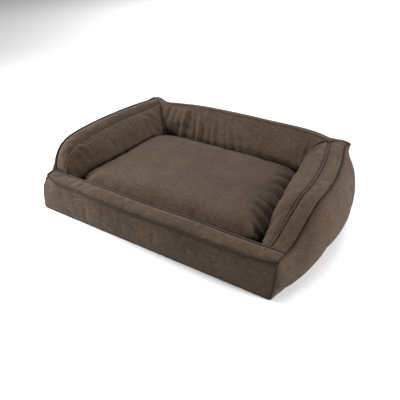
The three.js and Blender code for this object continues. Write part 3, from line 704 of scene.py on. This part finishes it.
# The flange cloth is the cover's brown at about half its brightness: painted shade on the flanges and in
# the grooves of the seams.
shaded_flange_cloth = upholstery("flange cloth, darkened as painted seam shade", (0.030, 0.0205, 0.0150, 1), "x", slub=0.10, mottle=0.06)
base_cloth = plain_weave("base cloth", (0.030, 0.025, 0.021, 1), 160)
grip_rubber = plain_weave("grip dots", (0.018, 0.016, 0.015, 1), 40, 0.6)
tape_cloth = plain_weave("zip tape", (0.045, 0.032, 0.024, 1), 240)
thread = plain_weave("sewing thread", (0.060, 0.042, 0.031, 1), 500, 0.7)
label_satin = plain_weave("label satin", (0.80, 0.79, 0.76, 1), 320, 0.5)
nylon = plain_weave("zip coil", (0.030, 0.022, 0.017, 1), 60, 0.4)
bronze = metal("zip metal", (0.16, 0.125, 0.095, 1))
fibre = fluffy("fibre filling", (0.80, 0.78, 0.74, 1), 90.0, 0.002)
foam = fluffy("foam", (0.74, 0.66, 0.46, 1), 500.0, 0.0008)


# ---- The cover's panels ----
# How cloth puffs: its air pressure, its share of spare cloth, and its limits inwards and outwards.
WALL_PUFF = (2.4, 0.013, 0.004, 0.008)
FACE_PUFF = (2.2, 0.030, 0.005, 0.007)
STRIP_PUFF = (1.4, 0.024, 0.003, 0.006)
FRONT_WALL_PUFF = (1.6, 0.010, 0.004, 0.005)
RAIL_FACE_PUFF = (0.8, 0.015, 0.003, 0.003)
BACK_WALL_PUFF = (1.8, 0.018, 0.004, 0.006)
BACK_FACE_PUFF = (1.6, 0.040, 0.007, 0.006)
UNPUFFED = (0, 0, 0.001, 0.001)


def make_panels():
    panels = {}

    def add(name, at, flip, cloth, puff, fill, sunk=ALL_EDGES):
        panel = Panel(name, at, flip, name, fill, sunk)
        panel.pressure, panel.spare, panel.inward, panel.outward = puff
        panel.make(cloth)
        panels[name] = panel

    def add_arm(side, word):
        lean, fill = side < 0, f"{word}_bolster_fill"
        add(f"{word}_side_panel", lambda u, v: side_wall(side, u, lerp(0.012, 1, v)),
            lean, cloth_along_y, WALL_PUFF, fill, V_END)
        add(f"{word}_arm_band", lambda u, v: arm_band(side, u, v), lean, cloth_along_y, STRIP_PUFF, fill)
        add(f"{word}_inner_panel", lambda u, v: arm_inner(side, u, v),
            lean, cloth_along_y, FACE_PUFF, fill, ALL_BUT_V_END)

    for side, word in SIDES:
        add_arm(side, word)
    add("front_panel", lambda u, v: front_wall(u, lerp(0.02, 1, v)),
        False, cloth_along_x, FRONT_WALL_PUFF, "front_rail_foam", V_END)
    add("front_rail_band", rail_band, False, cloth_along_x, STRIP_PUFF, "front_rail_foam")
    add("front_rail_inner_panel", rail_inner,
        False, cloth_along_x, RAIL_FACE_PUFF, "front_rail_foam", ALL_BUT_V_END)
    add("back_panel_lower", lambda u, v: back_wall(u, v, 0.004, COVER_ZIP_Z - slit_half(u)),
        True, cloth_along_x, UNPUFFED, "back_bolster_fill", NO_EDGE)
    add("back_panel_upper", lambda u, v: back_wall(u, v, COVER_ZIP_Z + slit_half(u), None),
        True, cloth_along_x, BACK_WALL_PUFF, "back_bolster_fill", V_END)
    add("back_band", back_band, False, cloth_along_x, STRIP_PUFF, "back_bolster_fill")
    add("back_inner_panel", back_inner,
        False, cloth_along_x, BACK_FACE_PUFF, "back_bolster_fill", ALL_BUT_V_END)
    return panels


def finish_panels(panels):
    for panel in panels.values():
        sink_edges(panel)
        set_vertices(panel.obj, panel.points)
        thicken(panel.obj)
        subdivide(panel.obj)
        panel.declare()


# The folds that show: where each starts and ends on its panel, how wide and how deep it is.
CREASES = {
    "back_inner_panel": (
        ((0.190, 0.30), (0.132, 0.76), 0.0095, 0.0150),
        ((0.282, 0.34), (0.278, 0.76), 0.0090, 0.0130),
        ((0.325, 0.20), (0.312, 0.44), 0.0075, 0.0055),
        ((0.385, 0.34), (0.388, 0.76), 0.0080, 0.0095),
        ((0.484, 0.38), (0.518, 0.76), 0.0075, 0.0075),
        ((0.548, 0.42), (0.576, 0.76), 0.0075, 0.0062),
        ((0.095, 0.24), (0.040, 0.66), 0.0090, 0.0090),
        ((0.060, 0.12), (0.018, 0.45), 0.0070, 0.0060),
        ((0.700, 0.46), (0.690, 0.74), 0.0080, 0.0034),
        ((0.930, 0.15), (0.972, 0.55), 0.0080, 0.0050),
    ),
    "left_inner_panel": (
        ((0.060, 0.24), (0.150, 0.40), 0.0060, 0.0045),
        ((0.120, 0.14), (0.190, 0.46), 0.0065, 0.0050),
        ((0.180, 0.12), (0.235, 0.42), 0.0060, 0.0038),
        ((0.050, 0.52), (0.160, 0.62), 0.0070, 0.0040),
        ((0.830, 0.36), (0.930, 0.62), 0.0070, 0.0060),
        ((0.800, 0.20), (0.955, 0.50), 0.0070, 0.0060),
        ((0.480, 0.50), (0.560, 0.72), 0.0080, 0.0025),
    ),
    "right_inner_panel": (
        ((0.060, 0.20), (0.130, 0.52), 0.0070, 0.0042),
        ((0.300, 0.44), (0.345, 0.66), 0.0080, 0.0026),
        ((0.620, 0.46), (0.600, 0.68), 0.0080, 0.0028),
        ((0.900, 0.16), (0.960, 0.50), 0.0080, 0.0050),
        ((0.840, 0.30), (0.930, 0.60), 0.0080, 0.0040),
    ),
    "left_arm_band": (
        ((0.055, 0.15), (0.150, 0.80), 0.006, 0.0038),
        ((0.100, 0.10), (0.210, 0.70), 0.006, 0.0026),
        ((0.870, 0.20), (0.960, 0.75), 0.006, 0.0035),
    ),
    "right_arm_band": (
        ((0.900, 0.25), (0.965, 0.75), 0.006, 0.0035),
        ((0.060, 0.20), (0.110, 0.75), 0.006, 0.0030),
    ),
    "right_side_panel": (
        ((0.065, 0.95), (0.150, 0.62), 0.008, 0.0040),
        ((0.940, 0.95), (0.860, 0.60), 0.009, 0.0045),
    ),
    "left_side_panel": (
        ((0.085, 0.95), (0.200, 0.60), 0.008, 0.0040),
        ((0.940, 0.95), (0.850, 0.62), 0.009, 0.0045),
    ),
    "front_rail_band": (
        ((0.045, 0.20), (0.085, 0.85), 0.007, 0.0030),
        ((0.940, 0.15), (0.905, 0.80), 0.007, 0.0030),
    ),
    "back_panel_upper": (
        ((0.060, 0.95), (0.160, 0.55), 0.009, 0.0040),
        ((0.940, 0.95), (0.850, 0.55), 0.009, 0.0040),
    ),
}


def press_creases(panels):
    for name, folds in CREASES.items():
        for fold in folds:
            press_crease(panels[name], *fold)


def clear_zip_pull(panel):
    """Keeps the back's inner face, where it is low, off the pull of the cushion's zip."""
    low = (1 - smooth((panel.points[..., 2] - 0.112) / 0.024)) * smooth(arch(panel.u) / 0.3)
    clear = np.maximum(panel.points[..., 1], BACK_FOOT_Y - 0.0002)
    panel.points[..., 1] = lerp(panel.points[..., 1], clear, low)


panels = make_panels()
puff_panels([p for p in panels.values() if p.spare > 0])
press_creases(panels)
clear_zip_pull(panels["back_inner_panel"])
finish_panels(panels)


# ---- Welts and flanges along the seams ----
def sweep(name, line, half_wide, half_tall, up, material, sides=10):
    """A rounded strip along a line of points, whose height points as near to up as the line lets it."""
    forward = np.gradient(line, axis=0)
    forward /= np.linalg.norm(forward, axis=1)[:, None]
    up = np.tile(np.asarray(up, float), (len(line), 1))
    up = up - np.sum(up * forward, axis=1)[:, None] * forward
    up /= np.linalg.norm(up, axis=1)[:, None]
    across = np.cross(forward, up)
    angles = np.linspace(0, 2 * math.pi, sides, endpoint=False)
    wide = np.broadcast_to(half_wide, len(line))[:, None, None]
    tall = np.broadcast_to(half_tall, len(line))[:, None, None]
    ring = (np.cos(angles)[None, :, None] * across[:, None] * wide
            + np.sin(angles)[None, :, None] * up[:, None] * tall)
    closing = np.ones(len(line))
    closing[[0, -1]] = 0.35
    points = (line[:, None] + ring * closing[:, None, None]).reshape(-1, 3)
    return new_object(name, points, tube_faces(len(line), sides), material)


def seam_line(at, start, end, spacing=0.004):
    """Evenly spread points along at(t), moved as the cover's cloth is."""
    t = np.linspace(start, end, 600)
    steps = np.linalg.norm(np.diff(settle(at(t)), axis=0), axis=1)
    run = np.concatenate([[0], np.cumsum(steps)])
    count = max(4, int(run[-1] / spacing))
    return settle(at(np.interp(np.linspace(0, run[-1], count), run, t)))


def add_outer_welt(word, seam, out, tall, lift=0.001, sunk=0.0046):
    """A welt that stands up from its seam as a flange, and what is left of the cloth behind the seam, both
    in the darkened flange cloth as painted shade along the seam.
    """
    out = np.array(out)
    name = f"{word}_outer_welt"
    ride_as(sweep(name, seam + lift * out, FLANGE_HALF_T, tall, out, shaded_flange_cloth), name)
    name = f"{word}_outer_seam_allowance_and_shade"
    ride_new(sweep(name, seam - sunk * out, ALLOWANCE_R, ALLOWANCE_R, out, shaded_flange_cloth))


def flange_height(from_ear):
    """The flanges stand taller at the back's two corners."""
    return FLANGE_HALF_H * (1 + 0.9 * np.exp(-((from_ear / 0.03) ** 2)))


def add_inner_welt(word, seam, up, half_wide=WELT_R, half_tall=WELT_R):
    name = f"{word}_inner_welt"
    # The welt's darkened cloth paints the shade of the grooves on both sides of it.
    ride_as(sweep(name, seam, half_wide, half_tall, up, shaded_welt_cloth), name)


def add_welts():
    for side, word in SIDES:
        seam = seam_line(
            lambda y: points_of(side * inner_seam_x(y), y, inner_seam_z(side, y)), RAIL_Y, BACK_IN_Y)
        add_inner_welt(word, seam, (-0.1 * side, -0.45, 1.0))
        seam = seam_line(lambda y: points_of(side * seam_x(y), y, seam_z(side, y)), FRONT_Y, BACK_Y)
        add_outer_welt(word, seam, (0.55 * side, -0.3, 1.0), flange_height(BACK_Y - seam[:, 1]))

    seam = seam_line(
        lambda x: points_of(x, BACK_IN_Y, ARM_H + back_rise(x / CORNER_IN_X)), -CORNER_IN_X, CORNER_IN_X)
    add_inner_welt("back", seam, (0.0, -0.1, 1.0), 0.0024, 0.0028)
    seam = seam_line(lambda x: points_of(x, BACK_Y, back_seam_z(x)), -EAR_X, EAR_X)
    add_outer_welt("back", seam, (0.0, 0.5, 1.0), flange_height(EAR_X - np.abs(seam[:, 0])))

    seam = seam_line(lambda x: points_of(x, RAIL_Y, RAIL_H), -HALF_W, HALF_W)
    add_inner_welt("rail", seam, (0.0, 0.1, 1.0))
    seam = seam_line(lambda x: points_of(x, FRONT_Y, rail_seam_z(x)), -HALF_W, HALF_W)
    add_outer_welt("rail", seam, (0.0, -0.7, 0.7), 0.0026, lift=0, sunk=0.0050)


def add_mitre_seams():
    """What is left of the cloth behind the seams at the back's two corners, in the darkened flange cloth as
    painted shade in their grooves.
    """
    for side, word in SIDES:
        top = seam_line(lambda t: arm_band(side, np.ones_like(t), t), 0.03, 1.0)
        up = np.array([0.0, 0.0, 1.0])
        ride_new(sweep(f"{word}_top_mitre_allowance_and_shade", top - 0.0048 * up, 0.0040, 0.0040, up, shaded_flange_cloth))
        inner = seam_line(lambda q: arm_inner(side, np.ones_like(q), q), 0.0, 1.0)
        behind = np.array([0.6 * side, 0.6, -0.5])
        name = f"{word}_inner_mitre_allowance_and_shade"
        ride_new(sweep(name, inner + 0.0046 * behind, 0.0044, 0.0044, behind, shaded_flange_cloth))


def add_edge_seams():
    """The plain seams at the upright corners and the binding round the floor edge, both in darkened cloth
    as painted shade along these edges.
    """
    for side, word in SIDES:
        for place, u, forwards, tall in (("front", 0.0, -0.7, 0.0024), ("back", 1.0, 0.7, 0.0030)):
            line = seam_line(lambda w: side_wall(side, u, w), 0.03, 0.985)
            out = (side * 0.7, forwards, 0.0)
            name = f"{word}_{place}_corner_seam"
            ride_new(sweep(name, line, FLANGE_HALF_T, tall, out, shaded_flange_cloth))
    runs = (
        lambda t: front_wall(t, 0.0),
        lambda t: side_wall(1, t, 0.0),
        lambda t: back_wall(1 - t, 0.0, 0.0, 0.004),
        lambda t: side_wall(-1, 1 - t, 0.0),
    )
    for number, run in enumerate(runs):
        line = seam_line(run, 0.0, 1.0) + np.array([0, 0, 0.0032])
        ride_new(sweep(f"floor_binding_{number + 1}", line, 0.0018, 0.0028, (0.0, 0.0, 1.0), shaded_welt_cloth))


add_welts()
add_mitre_seams()
add_edge_seams()


# ---- Fillings of the bolsters ----
def close_rings(name, rings, material):
    """A closed body through rings of points, with its faces turned outwards."""
    obj = new_object(name, np.concatenate(rings), tube_faces(len(rings), len(rings[0])), material)
    work = bmesh.new()
    work.from_mesh(obj.data)
    bmesh.ops.recalc_face_normals(work, faces=work.faces)
    work.to_mesh(obj.data)
    work.free()
    return obj


def inset_ring(ring, flat_axis, depth):
    """A ring in a plane across flat_axis, shrunk towards its inside."""
    axes = [i for i in range(3) if i != flat_axis]
    flat = ring[:, axes]
    after = np.roll(flat, -1, axis=0)
    forward = after - np.roll(flat, 1, axis=0)
    normal = np.stack([forward[:, 1], -forward[:, 0]], axis=1)
    normal /= np.maximum(np.linalg.norm(normal, axis=1, keepdims=True), 1e-9)
    area = 0.5 * np.sum(flat[:, 0] * after[:, 1] - after[:, 0] * flat[:, 1])
    inner = ring.copy()
    inner[:, axes] = flat - np.sign(area) * depth * normal
    inner[:, 2] = np.maximum(inner[:, 2], 0.0026)
    return inner


ROLL_STEPS = np.array([0.04, 0.12, 0.2, 0.28, 0.36, 0.44, 0.52, 0.62, 0.75, 0.88, 1.0])


def arm_fill_ring(side, y):
    u = (y - FRONT_Y) / (BACK_Y - FRONT_Y)
    lower = BACK_TILT * smooth((y - BACK_IN_Y) / BACK_BAND)
    outer = side_wall(side, u, np.linspace(0.02, 0.95, 9))
    across = np.array([0.1, 0.35, 0.65, 0.9])
    below_ear = lerp(seam_z(side, y), inner_seam_z(side, y), across) - EAR_LIFT * ear(BACK_Y - y)
    top = below_ear + 0.6 * BAND_CROWN * arch(across)
    crown = points_of(side * (seam_x(y) - ARM_BAND * across), y, top)
    height = inner_height(inner_seam_z(side, y), ROLL_STEPS)
    inner = points_of(side * face_x(side, y, ROLL_STEPS), y, height)
    foot = points_of(side * face_x(side, y, 1.0), y, 0.004)
    ring = np.concatenate([outer, crown, inner, foot[None]])
    ring[:, 2] -= lower * smooth(ring[:, 2] / 0.2)
    return inset_ring(ring, 1, FILL_ROOM)


def back_fill_ring(x):
    u = (x / EAR_X + 1) / 2
    outer = back_wall(u, np.linspace(0.02, 0.95, 9), 0.004, None)
    outer[:, 0] = x
    across = np.array([0.12, 0.5, 0.88])
    top = lerp(back_seam_z(x), ARM_H + back_rise(x / CORNER_IN_X), across)
    crown = points_of(x, lerp(BACK_Y, BACK_IN_Y, across), top)
    y = back_face_y(ROLL_STEPS)
    left, right = -face_x(-1, y, ROLL_STEPS), face_x(1, y, ROLL_STEPS)
    share = np.clip(2 * (x - left) / (right - left) - 1, -1, 1)
    inner = points_of(x, y, back_face_z(share, ROLL_STEPS))
    foot = np.array([x, float(back_face_y(1.0)), 0.004])
    return inset_ring(np.concatenate([outer, crown, inner, foot[None]]), 0, FILL_ROOM)


def add_fill(node, rings):
    obj = close_rings(f"{node}_form", [settle(ring) for ring in rings], fibre)
    ride_as(obj, node)


def add_fills():
    at_rail = RAIL_Y + np.array([0.016, 0.022, 0.032, 0.046])
    depths = np.concatenate([at_rail, np.linspace(-0.22, 0.314, 22)])
    for side, word in SIDES:
        add_fill(f"{word}_bolster_fill", [arm_fill_ring(side, y) for y in depths])
    left, right = (side * (float(face_x(side, 0.25, ROLL_SHARE)) - 0.012) for side in (-1, 1))
    add_fill("back_bolster_fill", [back_fill_ring(x) for x in np.linspace(left, right, 24)])


add_fills()


# ---- Seat cushion ----
def cushion_ring(share, z, inset=0.0, count=132):
    """The cushion's outline: its front left corner is the squarest."""
    angle = np.linspace(0, 2 * math.pi, count, endpoint=False)
    front_power = np.where(np.cos(angle) > 0, 7.5, 16.0)
    power = 2 / np.where(np.sin(angle) > 0, 7.0, front_power)
    c = np.sign(np.cos(angle)) * np.abs(np.cos(angle)) ** power
    s = np.sign(np.sin(angle)) * np.abs(np.sin(angle)) ** power
    y = CUSHION_Y + share * (CUSHION_HALF_Y - inset) * s
    wider = 1 + np.where(c > 0, 0.030, 0.045) * smooth((-0.10 - y) / 0.12)
    return points_of(share * (CUSHION_HALF_X - inset) * c * wider, y, z)


def cushion_start():
    """The cushion before it is puffed up: slightly smaller than its place."""
    rings = []
    for share in (0.05, 0.4, 0.7, 0.86, 0.94, 0.98):
        z = lerp(CUSHION_SEAM_Z, CUSHION_BASE_Z, (1 - share**14) ** 0.6)
        rings.append(cushion_ring(share, z, 0.004))
    brow = CUSHION_SEAM_Z + 0.019
    rings.append(cushion_ring(1, CUSHION_SEAM_Z - 0.012, 0.003))
    rings.append(cushion_ring(1, brow, 0.003))
    for share in (0.985, 0.95, 0.90, 0.83, 0.74, 0.62, 0.48, 0.32, 0.16, 0.05):
        z = lerp(brow, CUSHION_TOP_Z - 0.010, (1 - share**8) ** 0.6)
        rings.append(cushion_ring(share, z, 0.004))
    return close_rings("seat_cushion", rings, shaded_cushion_cloth)


def remesh(obj, size):
    modifier = obj.modifiers.new("remesh", "REMESH")
    modifier.mode = "VOXEL"
    modifier.voxel_size = size
    evaluated = obj.evaluated_get(bpy.context.evaluated_depsgraph_get())
    mesh = bpy.data.meshes.new_from_object(evaluated)
    obj.modifiers.clear()
    obj.data = mesh
    mesh.polygons.foreach_set("use_smooth", [True] * len(mesh.polygons))


# The cushion's tucks, in plan: from its edge inwards, with their width and depth.
CUSHION_TUCKS = (
    ((0.362, -0.240), (0.292, -0.190), 0.0085, 0.0200),
    ((0.356, -0.196), (0.284, -0.160), 0.0085, 0.0180),
    ((0.350, -0.150), (0.284, -0.116), 0.0085, 0.0140),
    ((0.346, -0.098), (0.268, -0.070), 0.0080, 0.0130),
    ((0.338, -0.030), (0.282, -0.016), 0.0085, 0.0060),
    ((0.338, 0.040), (0.276, 0.032), 0.0085, 0.0110),
    ((0.330, 0.098), (0.264, 0.084), 0.0085, 0.0110),
    ((0.300, -0.272), (0.286, -0.210), 0.0080, 0.0080),
    ((-0.230, 0.222), (-0.238, 0.178), 0.0110, 0.0065),
    ((-0.145, 0.222), (-0.140, 0.172), 0.0110, 0.0080),
    ((-0.070, 0.222), (-0.076, 0.182), 0.0090, 0.0065),
    ((0.010, 0.222), (0.018, 0.176), 0.0110, 0.0080),
    ((0.062, 0.222), (0.058, 0.186), 0.0090, 0.0060),
    ((0.135, 0.222), (0.128, 0.180), 0.0110, 0.0060),
    ((0.215, 0.222), (0.210, 0.184), 0.0100, 0.0055),
    ((-0.352, 0.120), (-0.306, 0.110), 0.0100, 0.0050),
    ((-0.352, 0.020), (-0.312, 0.026), 0.0100, 0.0045),
    ((-0.352, -0.110), (-0.316, -0.104), 0.0100, 0.0045),
    ((-0.345, -0.255), (-0.290, -0.215), 0.0100, 0.0060),
    ((-0.180, -0.276), (-0.176, -0.236), 0.0110, 0.0040),
    ((-0.020, -0.276), (-0.028, -0.238), 0.0110, 0.0040),
    ((0.130, -0.276), (0.126, -0.236), 0.0110, 0.0045),
)


# Its shallow hollows: the middle, the reach and the depth of each.
CUSHION_HOLLOWS = (
    ((-0.10, -0.06), 0.080, 0.0030),
    ((0.12, 0.05), 0.070, 0.0028),
    ((0.05, -0.15), 0.075, 0.0032),
    ((-0.22, 0.08), 0.060, 0.0024),
    ((0.24, -0.06), 0.055, 0.0030),
    ((-0.20, -0.17), 0.065, 0.0026),
)


def tuck_cushion(points, normals):
    """Presses the tucks and shallow hollows into the cushion's upper half."""
    upper = smooth((points[:, 2] - CUSHION_SEAM_Z - 0.004) / 0.020)
    moved = np.zeros(len(points))
    for start, end, width, depth in CUSHION_TUCKS:
        away, share = segment_distance(points[:, :2], start, end)
        fade = (1 - share) ** 0.7
        broad = width * (1 + 0.6 * share)
        moved -= depth * fade * np.exp(-((away / broad) ** 2))
        moved += 0.40 * depth * fade * np.exp(-(((away - 2.1 * broad) / (1.1 * broad)) ** 2))
    for place, reach, depth in CUSHION_HOLLOWS:
        away = np.linalg.norm(points[:, :2] - np.array(place), axis=1)
        moved -= depth * np.exp(-((away / reach) ** 2))
    return points + (moved * upper)[:, None] * normals


def shape_cushion_back(points):
    """Keeps the back of the cushion off the bolster, with a channel for the zip's tapes."""
    ends = 1 - smooth((np.abs(points[:, 0]) - CUSHION_ZIP_HALF - 0.004) / 0.012)
    beside = 1 - smooth((np.abs(points[:, 2] - CUSHION_SEAM_Z) - 0.012) / 0.006)
    limit = lerp(CUSHION_Y + CUSHION_HALF_Y - 0.0005, ZIP_TAPE_Y, ends * beside)
    points[:, 1] = np.minimum(points[:, 1], limit)
    return points


def make_seat_cushion():
    obj = cushion_start()
    remesh(obj, 0.0075)
    start = read_vectors(obj.data.vertices, "co")
    add_cloth(obj, pressure=4.0, spare=0.03, stiffness=8.0, bending=0.3)
    run_frames(20)
    moved = taken_shape(obj) - start
    upwards = np.where(start[:, 2] > CUSHION_SEAM_Z, 0.013, 0.0008)
    limits = points_of(0.0035, 0.0035, upwards)
    start = start + limits * np.tanh(moved / limits)
    bpy.context.scene.frame_set(1)
    set_vertices(obj, start)
    normals = read_vectors(obj.data.vertex_normals, "vector")
    set_vertices(obj, shape_cushion_back(tuck_cushion(start, normals)))
    subdivide(obj)
    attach(obj, "seat_cushion")
    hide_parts("seat_cushion_top_panel", "seat_cushion_bottom_panel", "seat_cushion_fill")


make_seat_cushion()


# ---- Deck and base ----
QUILT_PITCH = 0.07
GRIP_PITCH = 0.045


def add_deck():
    """The quilted cloth that the cushion lies on."""
    y_front, y_back = RAIL_Y + 0.003, BACK_FOOT_Y + 0.006

    def at(u, v):
        y = lerp(y_front, y_back, v)
        x = (2 * u - 1) * (foot_x(y) + 0.0025)
        half = QUILT_PITCH / 2
        lines = np.minimum(np.abs((x + y) % QUILT_PITCH - half), np.abs((x - y) % QUILT_PITCH - half))
        return points_of(x, y, DECK_H - 0.0003 - 0.0014 * np.exp(-((lines / 0.004) ** 2)))

    deck = Panel("deck", at, False, "deck_panel", "base_foam", spacing=0.0036)
    deck.points[..., 2] = at(deck.u, deck.v)[..., 2]
    deck.make(cloth_along_x)
    thicken(deck.obj)
    deck.declare()


def add_base():
    """The bottom cloth, with rows of rubber grip dots under it."""
    def at(u, v):
        y = lerp(FRONT_Y, BACK_Y, v)
        return points_of((2 * u - 1) * (FLOOR_CORNER_X + FLOOR_BOW * arch(v)), y, 0.0007)

    base = Panel("base_cloth", at, True, "bottom_panel", "base_foam", spacing=0.02)
    base.make(base_cloth)
    thicken(base.obj, 0.0012)
    base.declare("base_cloth")

    work = bmesh.new()
    for row, y in enumerate(np.arange(FRONT_Y + 0.04, BACK_Y - 0.02, GRIP_PITCH)):
        for x in np.arange(-0.405 + 0.5 * GRIP_PITCH * (row % 2), 0.415, GRIP_PITCH):
            place = Matrix.Translation((x, y, 0.0005))
            bmesh.ops.create_cone(
                work, cap_ends=True, segments=10, radius1=0.004, radius2=0.0045, depth=0.0006, matrix=place)
    ride_new(object_from(work, "grip_dots", grip_rubber))


add_deck()
add_base()


# ---- Zips, stitches and label ----
COIL_PITCH = 0.0026
STITCH_PITCH = 0.0042


def box_rows(name, centres, half, material, tilt=0.0):
    """One mesh of equal boxes at these centres, turned by tilt about Y, alternately."""
    work = bmesh.new()
    for k, centre in enumerate(centres):
        turn = Matrix.Rotation(tilt if k % 2 else -tilt, 4, "Y")
        place = Matrix.Translation(centre) @ turn @ Matrix.Diagonal((*half, 1))
        bmesh.ops.create_cube(work, size=2, matrix=place)
    return object_from(work, name, material)


def add_zip(prefix, body, half, y, z):
    """The turns of the coil, in two rows, and the core that they go round."""
    xs = np.arange(-half + 0.004, half - 0.004, COIL_PITCH)
    rows = ((0.0, -0.0011), (0.5 * COIL_PITCH, 0.0011))
    centres = [(x + along, y - 0.0011, z + up) for along, up in rows for x in xs]
    teeth = box_rows(f"{prefix}_zip_teeth", centres, (0.00085, 0.0011, 0.0016), nylon)
    core = box_rows(f"{prefix}_zip_core", [(0, y - 0.0014, z)], (half - 0.003, 0.0007, 0.0020), nylon)
    for piece in (teeth, core):
        ride_new(piece, body)
    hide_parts(f"{prefix}_zip_chain")


def add_stitches(name, body, half, y, z):
    centres = [(x, y, z) for x in np.arange(-half, half, STITCH_PITCH)]
    ride_new(box_rows(name, centres, (0.0014, 0.00035, 0.00035), thread, 0.05), body)


def add_zips():
    add_zip("cover", "cover", COVER_ZIP_HALF, BACK_Y, COVER_ZIP_Z)
    add_zip("cushion", "seat_cushion", CUSHION_ZIP_HALF, CUSHION_ZIP_Y, CUSHION_SEAM_Z)
    beside = 0.5 * ZIP_SLIT + 0.003
    for word, offset in (("lower", -beside), ("upper", beside)):
        name, z = f"cover_zip_stitches_{word}", COVER_ZIP_Z + offset
        add_stitches(name, "cover", COVER_ZIP_HALF + 0.010, BACK_Y + 0.0003, z)
        name, z = f"cushion_zip_stitches_{word}", CUSHION_SEAM_Z + offset
        add_stitches(name, "seat_cushion", CUSHION_ZIP_HALF, CUSHION_ZIP_Y - 0.0004, z)
        centre, half = (0, CUSHION_ZIP_Y - 0.0012, z), (CUSHION_ZIP_HALF + 0.007, 0.0007, 0.004)
        flap = box_rows(f"cushion_zip_flap_{word}", [centre], half, shaded_cushion_cloth)
        ride_new(flap, "seat_cushion")


def add_zip_end_flaps():
    """Cloth behind both ends of the back's zip."""
    centres = [(side * (COVER_ZIP_HALF + 0.012), BACK_Y - 0.0034, COVER_ZIP_Z) for side in (-1, 1)]
    flaps = box_rows("cover_zip_end_flaps", centres, (0.009, 0.0007, 0.009), cloth_along_x)
    ride_new(flaps)


def add_label():
    """A blank care label, sewn in at its foot, its free end curling off the back."""
    def at(u, v):
        y = BACK_Y + 0.0009 + 0.0050 * v**2.4 + 0.0010 * v * u
        return points_of(lerp(-0.362, -0.392, u), y, lerp(0.006, 0.052, v))

    label = Panel("care_label_cloth", at, False, "care_label", "back_panel_lower", spacing=0.003)
    label.points = at(label.u, label.v)
    label.make(label_satin)
    thicken(label.obj, 0.0004)
    label.declare("label", "hung")


add_zips()
add_zip_end_flaps()
add_label()

# The nodes that keep their CAD shape, with their materials.
CARRIED = {"front_rail_foam": foam, "base_foam": foam}
for zipped in ("cover", "cushion"):
    CARRIED.update({f"{zipped}_zip_tape_{part}": tape_cloth for part in ("upper", "lower")})
    fittings = ("stop_left", "stop_right", "slider", "pull")
    CARRIED.update({f"{zipped}_zip_{part}": bronze for part in fittings})
for node, material in CARRIED.items():
    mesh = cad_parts[node].data
    mesh.materials.clear()
    mesh.materials.append(material)


# ---- Floor, light and camera ----
def add_stage():
    corners = [(-6, -6, 0), (6, -6, 0), (6, 6, 0), (-6, 6, 0)]
    new_object("floor", corners, [(0, 1, 2, 3)], pale_floor(), flat=True)


def pale_floor():
    n = Nodes("pale floor")
    set_inputs(n.shader, Base_Color=(0.90, 0.90, 0.90, 1))
    return n.finish(roughness=0.9, specular=0.1)


def add_light(name, place, aim, size, power):
    data = bpy.data.lights.new(name, "AREA")
    data.shape, data.size, data.energy = "DISK", size, power
    obj = link_new(name, data)
    obj.location = place
    obj.rotation_euler = (Vector(aim) - Vector(place)).to_track_quat("-Z", "Y").to_euler()


def add_lights():
    add_light("overhead", (0.0, 0.20, 2.8), (0, 0, 0.1), 2.4, 54)
    add_light("left", (-1.35, -0.75, 0.62), (-0.3, -0.2, 0.1), 0.6, 38)
    add_light("left high", (-1.9, -0.15, 1.25), (0.2, 0, 0.15), 0.6, 18)
    add_light("right", (1.9, -0.12, 0.80), (0.3, 0, 0.1), 0.7, 38)
    add_light("far floor", (-1.0, 4.0, 2.6), (-0.8, 3.0, 0.0), 3.0, 180)
    world = bpy.data.worlds.new("studio")
    world.use_nodes = True
    set_inputs(world.node_tree.nodes["Background"], Color=(1, 1, 1, 1), Strength=0.11)
    bpy.context.scene.world = world
    bpy.context.scene.view_settings.view_transform = "Standard"


AIM = Vector((0.0834, -0.1404, 0.110))
VIEW_AZIMUTH, VIEW_ELEVATION, VIEW_DISTANCE = math.radians(31.1), math.radians(33.4), 1.4745


def add_camera():
    back = Vector((
        math.sin(VIEW_AZIMUTH) * math.cos(VIEW_ELEVATION),
        -math.cos(VIEW_AZIMUTH) * math.cos(VIEW_ELEVATION),
        math.sin(VIEW_ELEVATION),
    ))
    data = bpy.data.cameras.new("camera")
    data.lens, data.sensor_width = 38.36, 36
    obj = link_new("camera", data)
    obj.location = AIM + back * VIEW_DISTANCE
    obj.rotation_euler = (-back).to_track_quat("-Z", "Y").to_euler()
    bpy.context.scene.camera = obj


add_stage()
add_lights()
add_camera()
